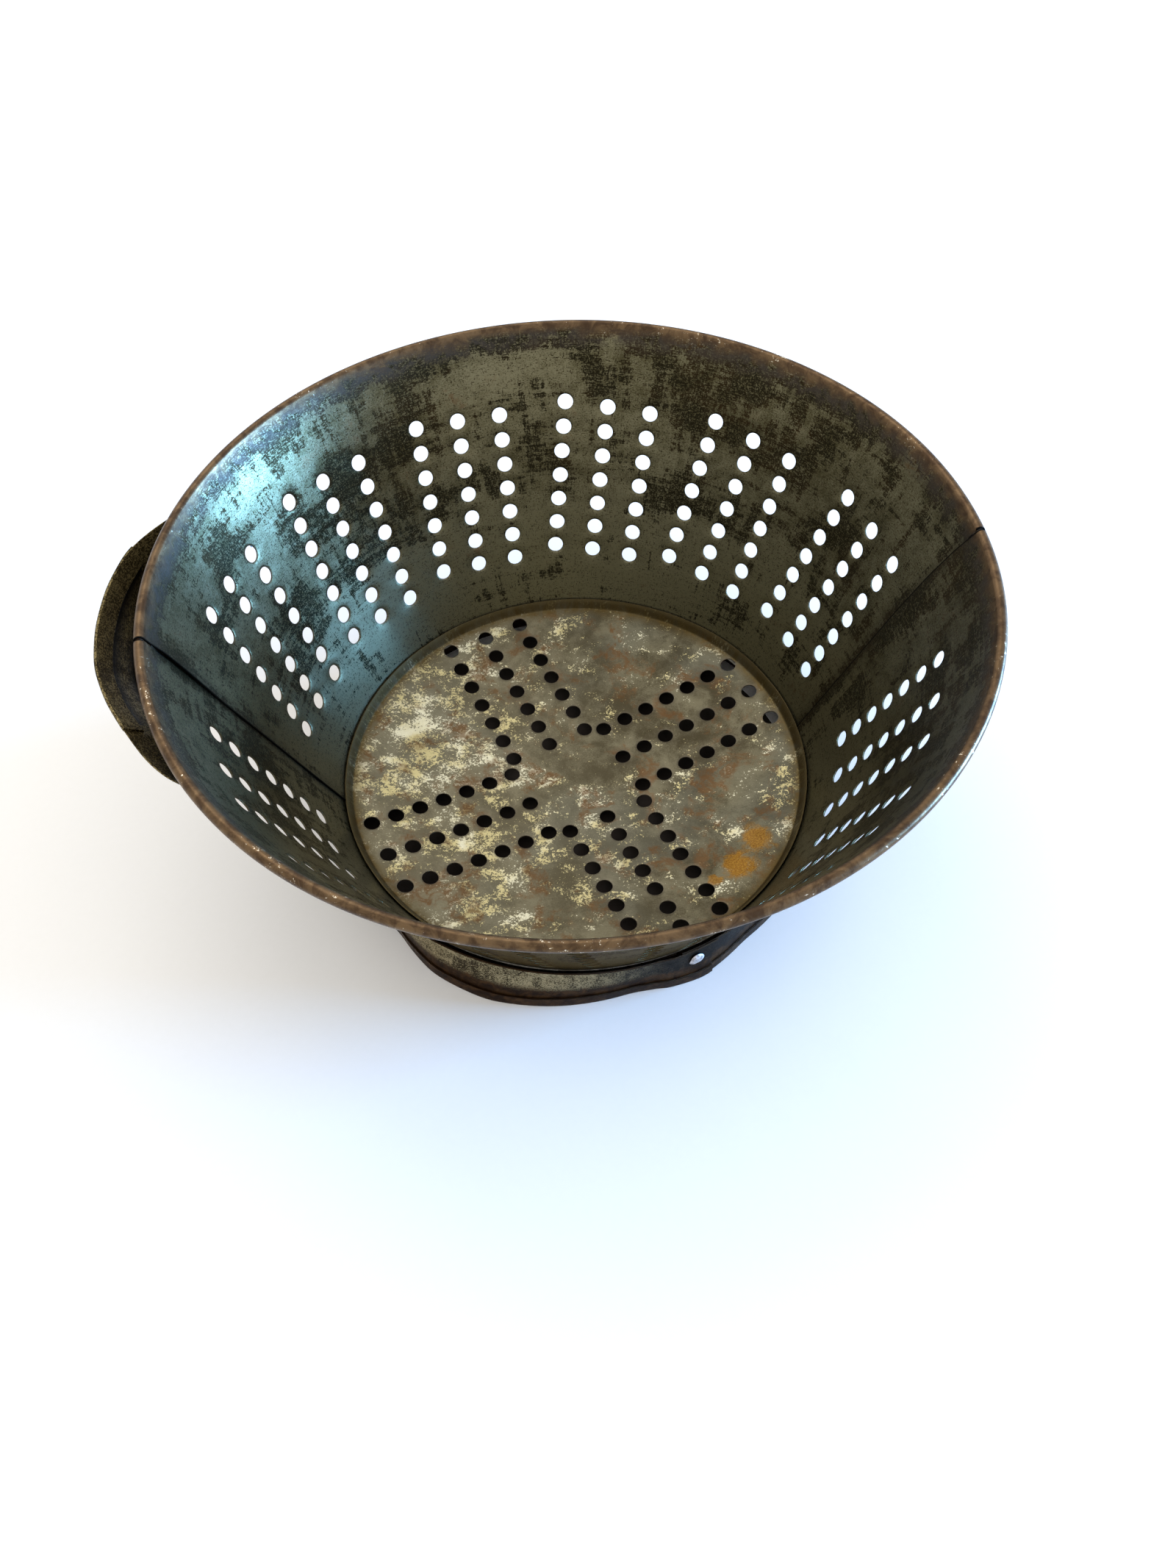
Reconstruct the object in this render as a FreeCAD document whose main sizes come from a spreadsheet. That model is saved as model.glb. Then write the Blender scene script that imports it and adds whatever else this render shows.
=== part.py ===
import FreeCAD, Part
import math
import os
import re

import Sketcher

# A tinplate strainer: a perforated, cone-shaped bowl of two half panels rolled over a
# rim wire, a perforated floor, a raised foot band and one strap handle, all soldered.
# Millimetres, +Z up. The origin is on the bowl's axis, in the plane the foot rests on.
# The two side seams lie near the X axis and the handle is on the -X side.

DIMENSIONS = [
    ("rim_diameter", 266.7, "outside diameter over the rolled rim"),
    ("rim_rise", 100.3, "centre of the rim wire above the floor"),
    ("wire_diameter", 2.5, "steel wire inside the rolled rim"),
    ("roll_clearance", 0.05, "slack between the wire and the roll"),
    ("sheet_thickness", 0.5, "tinplate of every sheet piece"),
    ("wall_flare", 24.6, "slope of the wall from the vertical, degrees"),
    ("wall_skirt", 2.0, "how far the wall reaches below the floor"),
    ("seam_lean", 3.0, "lean of the plane that parts the two panels, degrees"),
    ("seam_turn", 2.0, "turn of that plane about the bowl's axis, degrees"),
    ("seam_offset", -1.9, "where that plane crosses the bowl at seam_level"),
    ("seam_level", 65.0, "height at which seam_offset holds"),
    ("seam_gap", 0.6, "slit between the two panels at the inner face"),
    ("lap_width", 6.0, "lap of the back panel outside the front panel"),
    ("lap_clearance", 0.05, "solder film between lapped sheets"),
    ("lap_drop", 3.5, "top of the lap below the rim wire"),
    ("hole_diameter", 5.9, "every punched hole"),
    ("hole_pitch_across", 15.6, "between the three columns of a wall group"),
    ("hole_pitch_along", 9.4, "between the seven rows of a group"),
    ("group_skew", 1.2, "how far a group's rows are out of square with its columns, degrees"),
    ("group_fan", 1.4, "angle between neighbouring columns of a group, degrees"),
    ("floor_rise", 14.0, "middle of the floor sheet at its edge, above the resting plane"),
    ("floor_sag", 8.0, "how far the floor's middle hangs below its edge"),
    ("flange_height", 4.0, "upturned edge of the floor"),
    ("flange_gap", 0.1, "between the floor's edge and the wall"),
    ("floor_bend", 1.2, "size of the bend at the edge of the floor"),
    ("floor_pitch_across", 15.3, "between the three rows of a floor arm"),
    ("foot_height", 24.0, "foot band with its collar, from the resting plane up"),
    ("collar_start", 18.3, "level where the band turns out along the wall"),
    ("collar_gap", 0.15, "solder between the collar and the back panel"),
    ("foot_base_radius", 90.2, "outside of the band at its foot, under the hem"),
    ("hem_height", 4.0, "folded lower edge of the band"),
    ("foot_lap_angle", 289.4, "where the ends of the band lap, degrees"),
    ("foot_lap_width", 9.0, "width of that lap, degrees"),
    ("rivet_height", 12.0, "rivet of the lap above the resting plane"),
    ("rivet_head_radius", 2.7, "head of the rivet"),
    ("rivet_head_height", 1.1, "height of that head"),
    ("rivet_shoulder_radius", 2.2, "where the head's side turns in to its crown"),
    ("rivet_shoulder_height", 0.7, "height of that turn"),
    ("rivet_crown_radius", 1.0, "flat of the crown"),
    ("rivet_shank_radius", 1.2, "shank of the rivet"),
    ("rivet_tail_radius", 1.9, "closed end of the rivet"),
    ("rivet_tail_height", 0.7, "height of the closed end, inside the band"),
    ("rivet_clearance", 0.03, "between the shank and its holes"),
    ("handle_angle", 178.0, "direction of the handle's middle, degrees"),
    ("handle_drop", 4.5, "top edge of the handle below the rim wire"),
    ("handle_width", 22.0, "width of the strap"),
    ("handle_tilt", 34.0, "slope of the strap from the vertical, degrees"),
    ("handle_hem", 6.5, "folded edges of the strap"),
    ("handle_reach", 147.3, "axis of the bowl to the middle of the grip"),
    ("handle_seat", 0.3, "solder between the handle's ends and the wall"),
    ("handle_joint_angle", 27.0, "handle's middle to the middle of an end, degrees"),
    ("handle_joint_width", 16.0, "width of the solder under an end"),
    ("solder_width", 0.8, "width of the solder line beside a lap"),
    ("floor_fillet", 2.2, "width of the solder fillet under the floor"),
    ("solder_margin", 0.5, "what a solder film stays short of the edges around it"),
    ("tool_reach", 200.0, "size of the bodies that only cut"),
]

# Each arm of the floor's cross is its own stroke of the punch, set by hand:
# distance of its middle from the axis, direction of its middle, direction of its rows.
FLOOR_ARMS = [
    (49.3, 110.5, 109.7),
    (49.6, 22.6, 20.1),
    (47.7, 291.9, 287.7),
    (48.0, 200.5, 199.9),
]

# So is each group of the wall: direction of its middle, distance of its middle from the
# floor along the wall, turn of its columns in the plane of the sheet.
BACK_GROUPS = [
    (161.3, 53.9, 4.2),
    (132.9, 53.5, 4.2),
    (104.6, 53.4, 4.2),
    (76.5, 53.4, 4.3),
    (48.5, 52.9, 5.0),
    (19.4, 50.2, 7.5),
]
FRONT_GROUPS = [
    (338.7, 51.8, 4.5),
    (310.9, 53.3, 4.4),
    (283.1, 53.3, 4.4),
    (255.6, 53.3, 4.4),
    (228.2, 53.3, 4.6),
    (200.9, 52.8, 6.1),
]
ROWS = 7
COLUMNS = 3
PUNCH_LENGTH = 8.0
DISH_STEPS = 6

# Half of the handle's plan, from the middle of the grip to the end at the wall: how far
# along, how far short of the grip's reach, and the radius of the bend there.
HANDLE_PLAN = [
    (12.0, 0.4, 30.0),
    (33.0, 6.0, 12.0),
    (60.0, 24.6, 8.0),
    (64.0, 48.0, 0.0),
]

document = FreeCAD.newDocument("Strainer")
sheet = document.addObject("Spreadsheet::Sheet", "Dimensions")
for line, (alias, value, meaning) in enumerate(DIMENSIONS, start=1):
    sheet.set(f"A{line}", meaning)
    sheet.set(f"B{line}", str(value))
    sheet.setAlias(f"B{line}", alias)
document.recompute()

ALIASES = re.compile(r"\b(" + "|".join(entry[0] for entry in DIMENSIONS) + r")\b")

# Formulas that several pieces share.
ROLL_RADIUS = "(wire_diameter / 2 + roll_clearance + sheet_thickness)"
CHANNEL_RADIUS = "(wire_diameter / 2 + roll_clearance)"
RIM_RADIUS = f"(rim_diameter / 2 - {ROLL_RADIUS})"
RIM_LEVEL = "(floor_rise + rim_rise)"
HALF_SHEET = "(sheet_thickness / 2 / cos(wall_flare))"
BACK_SHIFT = "((sheet_thickness + lap_clearance) / cos(wall_flare))"
WALL_AT_RIM = f"({RIM_RADIUS} - ({ROLL_RADIUS} - sheet_thickness / 2) / cos(wall_flare))"
WALL_BOTTOM = "(floor_rise - wall_skirt)"
WALL_TOP = f"({RIM_LEVEL} + ({ROLL_RADIUS} - sheet_thickness / 2) * sin(wall_flare))"
LAP_TOP = f"({RIM_LEVEL} - lap_drop)"


def size(alias):
    """One driving dimension, as a plain number."""
    return float(sheet.get(alias))


def bound(text):
    """A formula over the aliases, as FreeCAD reads it."""
    return ALIASES.sub(r"Dimensions.\1", text)


def value_of(text):
    """The number that a formula over the aliases gives."""
    names = {entry[0]: size(entry[0]) for entry in DIMENSIONS}
    plain = ALIASES.sub(lambda found: repr(names[found.group(1)]), text)
    return float(sheet.evalExpression(plain))


def wall_radius(level, offset="0"):
    """Radius of the wall's middle surface at a level, moved outward by an offset."""
    return f"({WALL_AT_RIM} - ({RIM_LEVEL} - ({level})) * tan(wall_flare) + ({offset}))"


FLOOR_UNDER = "(floor_rise - sheet_thickness / 2)"
FLANGE_OUTSIDE = f"(-{HALF_SHEET} - flange_gap)"
FLOOR_EDGE = f"({wall_radius(FLOOR_UNDER, FLANGE_OUTSIDE)} - floor_bend)"


def primitive(kind, name, formulas):
    """A Part primitive whose properties follow formulas over the sheet."""
    item = document.addObject("Part::" + kind, name)
    for target, text in formulas.items():
        item.setExpression(target, bound(text))
    return item


def cut(name, base, tool):
    """What is left of a base after a tool."""
    item = document.addObject("Part::Cut", name)
    item.Base = base
    item.Tool = tool
    return item


def common(name, base, tool):
    """What a base and a tool share."""
    item = document.addObject("Part::Common", name)
    item.Base = base
    item.Tool = tool
    return item


def fuse(name, pieces):
    """One solid of several."""
    item = document.addObject("Part::MultiFuse", name)
    item.Shapes = pieces
    item.Refine = False
    return item


def cone_between(name, bottom, top, offset):
    """Everything inside the wall's surface, moved outward by an offset."""
    return primitive("Cone", name, {
        "Radius1": wall_radius(bottom, offset),
        "Radius2": wall_radius(top, offset),
        "Height": f"({top}) - ({bottom})",
        ".Placement.Base.z": bottom,
    })


def cone_shell(name, bottom, top, inner, outer):
    """A sheet along the wall between two offsets from its middle surface."""
    return cut(
        name,
        cone_between(name + "_outside", bottom, top, outer),
        cone_between(name + "_inside", bottom, top, inner),
    )


def seam_box(name, start, depth="tool_reach", side=0):
    """A leaning box that starts at a distance from the parting plane, towards the back.

    side 0 takes both seams, -1 only the left one and +1 only the right one.
    """
    box = document.addObject("Part::Box", name)
    left = "0" if side > 0 else "-tool_reach"
    box.setExpression("Length", bound("tool_reach" if side else "2 * tool_reach"))
    box.setExpression("Width", bound(depth))
    box.setExpression("Height", bound("2 * tool_reach"))
    across = f"seam_offset + tool_reach * sin(seam_lean) + ({start}) * cos(seam_lean)"
    level = f"seam_level - tool_reach * cos(seam_lean) + ({start}) * sin(seam_lean)"
    turned = "placement(vector(0; 0; 0); rotation(vector(0; 0; 1); seam_turn))"
    leaning = f"placement(vector({left}; {across}; {level}); rotation(vector(1; 0; 0); seam_lean))"
    box.setExpression("Placement", bound(f"{turned} * {leaning}"))
    return box


def revolved_body(name, outline):
    """A PartDesign body: a closed outline of (radius, level) formulas, turned about Z."""
    body = document.addObject("PartDesign::Body", name)
    sketch = body.newObject("Sketcher::SketchObject", name + "_outline")
    plane = next(item for item in body.Origin.OriginFeatures if item.Role == "XZ_Plane")
    sketch.AttachmentSupport = [(plane, "")]
    sketch.MapMode = "FlatFace"
    corners = [(value_of(radius), value_of(level)) for radius, level in outline]
    count = len(corners)
    for index, (radius, level) in enumerate(corners):
        following = corners[(index + 1) % count]
        sketch.addGeometry(Part.LineSegment(
            FreeCAD.Vector(radius, level, 0), FreeCAD.Vector(*following, 0)))
    constrain_corners(sketch, outline, corners)
    turn = body.newObject("PartDesign::Revolution", name + "_turn")
    turn.Profile = sketch
    turn.ReferenceAxis = (sketch, ["V_Axis"])
    turn.Angle = 360
    return body


def constrain_corners(sketch, outline, corners):
    """Joins an outline's lines end to start and binds every corner to the sheet."""
    count = len(corners)
    for index, (radius, level) in enumerate(corners):
        sketch.addConstraint(Sketcher.Constraint(
            "Coincident", index, 2, (index + 1) % count, 1))
        for kind, number, text in (
            ("DistanceX", radius, outline[index][0]),
            ("DistanceY", level, outline[index][1]),
        ):
            if abs(number) < 1e-9:
                axis = -2 if kind == "DistanceX" else -1
                sketch.addConstraint(Sketcher.Constraint("PointOnObject", index, 1, axis))
                continue
            place = sketch.addConstraint(Sketcher.Constraint(
                kind, -1, 1, index, 1, number))
            sketch.setExpression(f"Constraints[{place}]", bound(text))


def direction(angle):
    """The level unit vector at an angle from +X."""
    return FreeCAD.Vector(math.cos(math.radians(angle)), math.sin(math.radians(angle)), 0)


# ---------------------------------------------------------------- punched holes


def wall_punches(name, groups):
    """The punches of one panel: its groups, laid out on the flat sheet and rolled up."""
    slope = math.radians(size("wall_flare"))
    floor_radius = value_of(wall_radius("floor_rise"))
    apex = floor_radius / math.sin(slope)
    radius = size("hole_diameter") / 2
    tools = []
    for middle, slant, turn in groups:
        rise = math.radians(turn + size("group_skew"))
        for column in range(COLUMNS):
            place = (COLUMNS - 1) / 2 - column
            across = place * size("hole_pitch_across")
            lean = math.radians(turn - place * size("group_fan"))
            for row in range(ROWS):
                along = ((ROWS - 1) / 2 - row) * size("hole_pitch_along")
                side = across * math.cos(rise) - along * math.sin(lean)
                up = across * math.sin(rise) + along * math.cos(lean)
                reach = math.hypot(apex + slant + up, side)
                spread = math.atan2(side, apex + slant + up) / math.sin(slope)
                angle = middle + math.degrees(spread)
                outward = direction(angle) * math.cos(slope)
                outward.z = -math.sin(slope)
                point = direction(angle) * (reach * math.sin(slope))
                point.z = size("floor_rise") + (reach - apex) * math.cos(slope)
                start = point - outward * (PUNCH_LENGTH / 2)
                tools.append(Part.makeCylinder(radius, PUNCH_LENGTH, start, outward))
    item = document.addObject("Part::Feature", name)
    item.Shape = Part.makeCompound(tools)
    return item


def floor_punches(name):
    """The punches of the floor: four arms of three rows."""
    radius = size("hole_diameter") / 2
    up = FreeCAD.Vector(0, 0, 1)
    length = PUNCH_LENGTH + size("floor_sag")
    tools = []
    for distance, middle, turn in FLOOR_ARMS:
        centre = direction(middle) * distance
        centre.z = size("floor_rise") + PUNCH_LENGTH / 2 - length
        for column in range(COLUMNS):
            for row in range(ROWS):
                across = ((COLUMNS - 1) / 2 - column) * size("floor_pitch_across")
                along = ((ROWS - 1) / 2 - row) * size("hole_pitch_along")
                place = centre + direction(turn) * along + direction(turn + 90) * across
                tools.append(Part.makeCylinder(radius, length, place, up))
    item = document.addObject("Part::Feature", name)
    item.Shape = Part.makeCompound(tools)
    return item


# ---------------------------------------------------------------- bowl


def rim_tube(name):
    """The rolled rim as a solid ring, before the wire's channel is taken out."""
    return primitive("Torus", name, {
        "Radius1": RIM_RADIUS, "Radius2": ROLL_RADIUS, ".Placement.Base.z": RIM_LEVEL})


def rim_channel(name):
    """The room for the wire inside the rolled rim."""
    return primitive("Torus", name, {
        "Radius1": RIM_RADIUS, "Radius2": CHANNEL_RADIUS, ".Placement.Base.z": RIM_LEVEL})


def back_wall():
    """The back panel before punching: it laps outside the front panel at both seams."""
    inner = f"{BACK_SHIFT} - {HALF_SHEET}"
    outer = f"{BACK_SHIFT} + {HALF_SHEET}"
    sheet_part = common(
        "back_sheet", cone_shell("back_cone", WALL_BOTTOM, WALL_TOP, inner, outer),
        seam_box("back_side", "0"))
    lap = common(
        "back_lap", cone_shell("lap_cone", WALL_BOTTOM, LAP_TOP, inner, outer),
        seam_box("lap_side", "-lap_width"))
    roll = common("back_roll", rim_tube("back_tube"), seam_box("back_roll_side", "0"))
    return cut("back_blank", fuse("back_formed", [sheet_part, lap, roll]),
               rim_channel("back_channel"))


def front_wall():
    """The front panel before punching."""
    shell = cone_shell("front_cone", WALL_BOTTOM, WALL_TOP, f"-{HALF_SHEET}", HALF_SHEET)
    formed = fuse("front_formed", [shell, rim_tube("front_tube")])
    half = cut("front_half", formed, seam_box("front_clear", "-seam_gap"))
    return cut("front_blank", half, rim_channel("front_channel"))


def rim_wire():
    """The steel ring inside the rolled rim."""
    return primitive("Torus", "rim_wire", {
        "Radius1": RIM_RADIUS, "Radius2": "wire_diameter / 2",
        ".Placement.Base.z": RIM_LEVEL})


def dish(face, step):
    """A corner of the floor's section, a step of the way out from the axis."""
    share = f"({step} / {DISH_STEPS})"
    return f"{FLOOR_EDGE} * {share}", f"{face} - floor_sag * (1 - {share}^2)"


def floor_disc():
    """The floor: a dished disc whose edge turns up inside the wall."""
    under = FLOOR_UNDER
    above = f"({FLOOR_UNDER} + sheet_thickness)"
    flange_top = f"({above} + flange_height)"
    outside = FLANGE_OUTSIDE
    inside = f"({outside} - 2 * {HALF_SHEET})"
    bend_low = f"({under} + floor_bend)"
    bend_high = f"({above} + floor_bend)"
    body = revolved_body("floor_blank", [
        ("0", dish(under, 0)[1]),
        *(dish(under, step) for step in range(1, DISH_STEPS)),
        (FLOOR_EDGE, under),
        (wall_radius(bend_low, outside), bend_low),
        (wall_radius(flange_top, outside), flange_top),
        (wall_radius(flange_top, inside), flange_top),
        (wall_radius(bend_high, inside), bend_high),
        (f"{wall_radius(above, inside)} - floor_bend", above),
        *(dish(above, step) for step in range(DISH_STEPS - 1, 0, -1)),
        ("0", dish(above, 0)[1]),
    ])
    return cut("floor_disc", body, floor_punches("floor_punches"))


# ---------------------------------------------------------------- foot


def collar_radius(level, offset="0"):
    """Inside of the band's collar at a level, moved outward by an offset."""
    gap = f"{BACK_SHIFT} + {HALF_SHEET} + collar_gap / cos(wall_flare)"
    return wall_radius(level, f"{gap} + ({offset})")


def band_radius(level, offset="0"):
    """Outside of the foot band below the collar, moved outward by an offset."""
    knee = collar_radius("collar_start", f"2 * {HALF_SHEET}")
    return (f"(foot_base_radius - (foot_base_radius - {knee}) * ({level}) / collar_start"
            f" + ({offset}))")


def rivet_seat():
    """Where the rivet's shank crosses the outside of the lap, its own Z square to it."""
    around = direction(size("foot_lap_angle"))
    reach = value_of(band_radius("rivet_height", "sheet_thickness"))
    point = around * reach
    point.z = size("rivet_height")
    rise = size("collar_start")
    narrowing = value_of(band_radius("0")) - value_of(band_radius("collar_start"))
    out = around * rise + FreeCAD.Vector(0, 0, narrowing)
    turn = FreeCAD.Rotation(FreeCAD.Vector(0, 0, 1), out)
    return FreeCAD.Placement(point, turn)


def foot_band():
    """The band under the bowl, hemmed at its foot, its ends lapped under one rivet."""
    hem_out = "sheet_thickness"
    ring = revolved_body("foot_ring", [
        (band_radius("0", "-sheet_thickness"), "0"),
        (band_radius("0", hem_out), "0"),
        (band_radius("hem_height", hem_out), "hem_height"),
        (band_radius("hem_height"), "hem_height"),
        (band_radius("collar_start"), "collar_start"),
        (collar_radius("foot_height", f"2 * {HALF_SHEET}"), "foot_height"),
        (collar_radius("foot_height"), "foot_height"),
        (collar_radius("collar_start"), "collar_start"),
    ])
    lap_sizes = {"Height": "collar_start - hem_height", ".Placement.Base.z": "hem_height"}
    outside = primitive("Cone", "foot_lap_outside", dict(lap_sizes, **{
        "Radius1": band_radius("hem_height", "sheet_thickness"),
        "Radius2": band_radius("collar_start", "sheet_thickness"),
        "Angle": "foot_lap_width",
        ".Placement.Rotation.Angle": "foot_lap_angle - foot_lap_width / 2",
    }))
    inside = primitive("Cone", "foot_lap_inside", dict(lap_sizes, **{
        "Radius1": band_radius("hem_height", "-sheet_thickness / 2"),
        "Radius2": band_radius("collar_start", "-sheet_thickness / 2"),
    }))
    lapped = fuse("foot_lapped", [ring, cut("foot_lap", outside, inside)])
    hole = primitive("Cylinder", "rivet_hole", {
        "Radius": "rivet_shank_radius + rivet_clearance", "Height": "4 * sheet_thickness"})
    seat = rivet_seat()
    below = seat.Rotation.multVec(FreeCAD.Vector(0, 0, -3 * size("sheet_thickness")))
    hole.Placement = FreeCAD.Placement(seat.Base + below, seat.Rotation)
    return cut("foot_band", lapped, hole)


def foot_rivet():
    """The rivet through the lapped ends of the foot band."""
    grip = "(2 * sheet_thickness + rivet_clearance)"
    lift = f"(rivet_tail_height + {grip})"
    body = revolved_body("foot_rivet", [
        ("0", "0"),
        ("rivet_tail_radius", "0"),
        ("rivet_tail_radius", "rivet_tail_height"),
        ("rivet_shank_radius", "rivet_tail_height"),
        ("rivet_shank_radius", lift),
        ("rivet_head_radius", lift),
        ("rivet_shoulder_radius", f"{lift} + rivet_shoulder_height"),
        ("rivet_crown_radius", f"{lift} + rivet_head_height"),
        ("0", f"{lift} + rivet_head_height"),
    ])
    seat = rivet_seat()
    sunk = seat.Rotation.multVec(FreeCAD.Vector(0, 0, -value_of(lift)))
    body.Placement = FreeCAD.Placement(seat.Base + sunk, seat.Rotation)
    return body


# ---------------------------------------------------------------- handle


def handle_route():
    """The top edge of the strap seen from above: straight runs joined by tangent arcs."""
    reach = size("handle_reach")
    half = [(along, reach - short, bend) for along, short, bend in HANDLE_PLAN]
    plan = [(-along, out, bend) for along, out, bend in reversed(half)] + half
    corners = [FreeCAD.Vector(out, along, 0) for along, out, bend in plan]
    edges = []
    start = corners[0]
    for index in range(1, len(corners) - 1):
        corner = corners[index]
        back = (corners[index - 1] - corner).normalize()
        ahead = (corners[index + 1] - corner).normalize()
        half_turn = (math.pi - back.getAngle(ahead)) / 2
        trim = plan[index][2] * math.tan(half_turn)
        arc_in = corner + back * trim
        arc_out = corner + ahead * trim
        bisector = (back + ahead).normalize()
        inset = plan[index][2] * (1 / math.cos(half_turn) - 1)
        edges.append(Part.LineSegment(start, arc_in).toShape())
        edges.append(Part.Arc(arc_in, corner + bisector * inset, arc_out).toShape())
        start = arc_out
    edges.append(Part.LineSegment(start, corners[-1]).toShape())
    return Part.Wire(edges)


def strap_section(start, ahead):
    """The hemmed strap across the route's start: outer edge on the route, leaning in."""
    tilt = math.radians(size("handle_tilt"))
    inward = FreeCAD.Vector(0, 0, 1).cross(ahead)
    down = inward * math.sin(tilt) - FreeCAD.Vector(0, 0, math.cos(tilt))
    face = inward * math.cos(tilt) + FreeCAD.Vector(0, 0, math.sin(tilt))
    width = size("handle_width")
    hem = size("handle_hem")
    thin = size("sheet_thickness")
    outline = [
        (0, 0), (width, 0), (width, 2 * thin), (width - hem, 2 * thin),
        (width - hem, thin), (hem, thin), (hem, 2 * thin), (0, 2 * thin), (0, 0),
    ]
    return Part.makePolygon([start + down * low + face * high for low, high in outline])


def handle_strap():
    """The strap handle, swept along its route and trimmed to the wall."""
    route = handle_route()
    first = route.Edges[0]
    ahead = first.tangentAt(first.FirstParameter).normalize()
    section = strap_section(first.Vertexes[0].Point, ahead)
    swept = document.addObject("Part::Feature", "handle_swept")
    swept.Shape = route.makePipeShell([section], True, False)
    turn = FreeCAD.Rotation(FreeCAD.Vector(0, 0, 1), size("handle_angle"))
    level = value_of(f"{RIM_LEVEL} - handle_drop")
    swept.Placement = FreeCAD.Placement(FreeCAD.Vector(0, 0, level), turn)
    clear = f"{BACK_SHIFT} + {HALF_SHEET} + handle_seat"
    bowl = cone_between("handle_trim", "0", f"{RIM_LEVEL} + handle_width", clear)
    return cut("handle_strap", swept, bowl)


def handle_solder(name, side, wall_outside):
    """The solder between one end of the handle and the outside of the panel under it."""
    middle = size("handle_angle") + side * size("handle_joint_angle")
    half = size("handle_joint_width") / 2
    corner = direction(middle + 90) * -half
    corner.z = value_of(f"{RIM_LEVEL} - handle_drop - handle_width")
    box = document.addObject("Part::Box", name + "_patch")
    box.Placement = FreeCAD.Placement(
        corner, FreeCAD.Rotation(FreeCAD.Vector(0, 0, 1), middle))
    for target, text in {
        "Length": "tool_reach",
        "Width": "handle_joint_width",
        "Height": "handle_width - 2 * solder_margin",
    }.items():
        box.setExpression(target, bound(text))
    strap_inside = f"{BACK_SHIFT} + {HALF_SHEET} + handle_seat"
    film = cone_shell(name + "_film", WALL_BOTTOM, LAP_TOP, wall_outside, strap_inside)
    return common(name, film, box)


# ---------------------------------------------------------------- solder


def seam_solder(name, side):
    """The line of solder on the outside of one side seam, beside the lap's edge."""
    low = "(foot_height + 2 * solder_margin)"
    band = cone_shell(name + "_cone", low, LAP_TOP, HALF_SHEET,
                      f"{HALF_SHEET} + sheet_thickness")
    strip = seam_box(name + "_strip", "-lap_width - solder_width", "solder_width", side)
    return common(name, band, strip)


def floor_solder():
    """The fillet of solder under the floor, in the corner with the wall."""
    low = f"({WALL_BOTTOM} + solder_margin)"
    inside = "-" + HALF_SHEET
    wall = wall_radius(FLOOR_UNDER, inside)
    slope = f"(floor_sag * {2 * DISH_STEPS - 1} / {DISH_STEPS} / {FLOOR_EDGE})"
    drop = f"((floor_fillet - floor_bend - flange_gap) * {slope})"
    return revolved_body("floor_solder", [
        (f"{wall} - floor_fillet", f"{FLOOR_UNDER} - {drop}"),
        (wall_radius(low, inside), low),
        (wall, FLOOR_UNDER),
        (FLOOR_EDGE, FLOOR_UNDER),
    ])


def foot_solder(walls):
    """The film of solder between the wall and the collar of the foot band."""
    low = "(collar_start + solder_margin)"
    high = "(foot_height - 2 * solder_margin)"
    ring = revolved_body("foot_solder_ring", [
        (wall_radius(low), low),
        (collar_radius(low), low),
        (collar_radius(high), high),
        (wall_radius(high), high),
    ])
    without_front = cut("foot_solder_trim", ring, walls[1])
    return cut("foot_solder", without_front, walls[0])


# ---------------------------------------------------------------- assembly


def build():
    """Every sub-part, by the name of its node."""
    back = back_wall()
    front = front_wall()
    return {
        "back_wall_panel": cut("back_panel", back, wall_punches("back_punches", BACK_GROUPS)),
        "front_wall_panel": cut("front_panel", front, wall_punches("front_punches", FRONT_GROUPS)),
        "rim_wire": rim_wire(),
        "floor_disc": floor_disc(),
        "foot_band": foot_band(),
        "foot_rivet": foot_rivet(),
        "handle_strap": handle_strap(),
        "handle_solder_back": handle_solder(
            "handle_solder_back", -1, f"{BACK_SHIFT} + {HALF_SHEET}"),
        "handle_solder_front": handle_solder("handle_solder_front", 1, HALF_SHEET),
        "left_seam_solder": seam_solder("left_seam_solder", -1),
        "right_seam_solder": seam_solder("right_seam_solder", 1),
        "floor_solder": floor_solder(),
        "foot_solder": foot_solder([back, front]),
    }


def check(nodes):
    """Stops before anything is written if an object or a sub-part has failed."""
    for item in document.Objects:
        if "Invalid" in item.State or "Error" in item.State:
            raise RuntimeError(f"{item.Name} failed: {item.State}")
    for node, item in nodes.items():
        if item.Shape.isNull() or not item.Shape.isValid():
            raise RuntimeError(f"{node} has no valid shape")


def export(nodes):
    """Writes one STEP file per sub-part and prints what it holds."""
    os.makedirs("parts", exist_ok=True)
    for node, item in nodes.items():
        item.Label = node
        item.Shape.exportStep(os.path.join("parts", node + ".step"))
        box = item.Shape.BoundBox
        print(f"{node}: {len(item.Shape.Solids)} solid, {item.Shape.Volume / 1000:.2f} cm3, "
              f"x {box.XMin:.1f} {box.XMax:.1f} y {box.YMin:.1f} {box.YMax:.1f} "
              f"z {box.ZMin:.1f} {box.ZMax:.1f}")


parts = build()
document.recompute()
check(parts)
export(parts)
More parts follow.
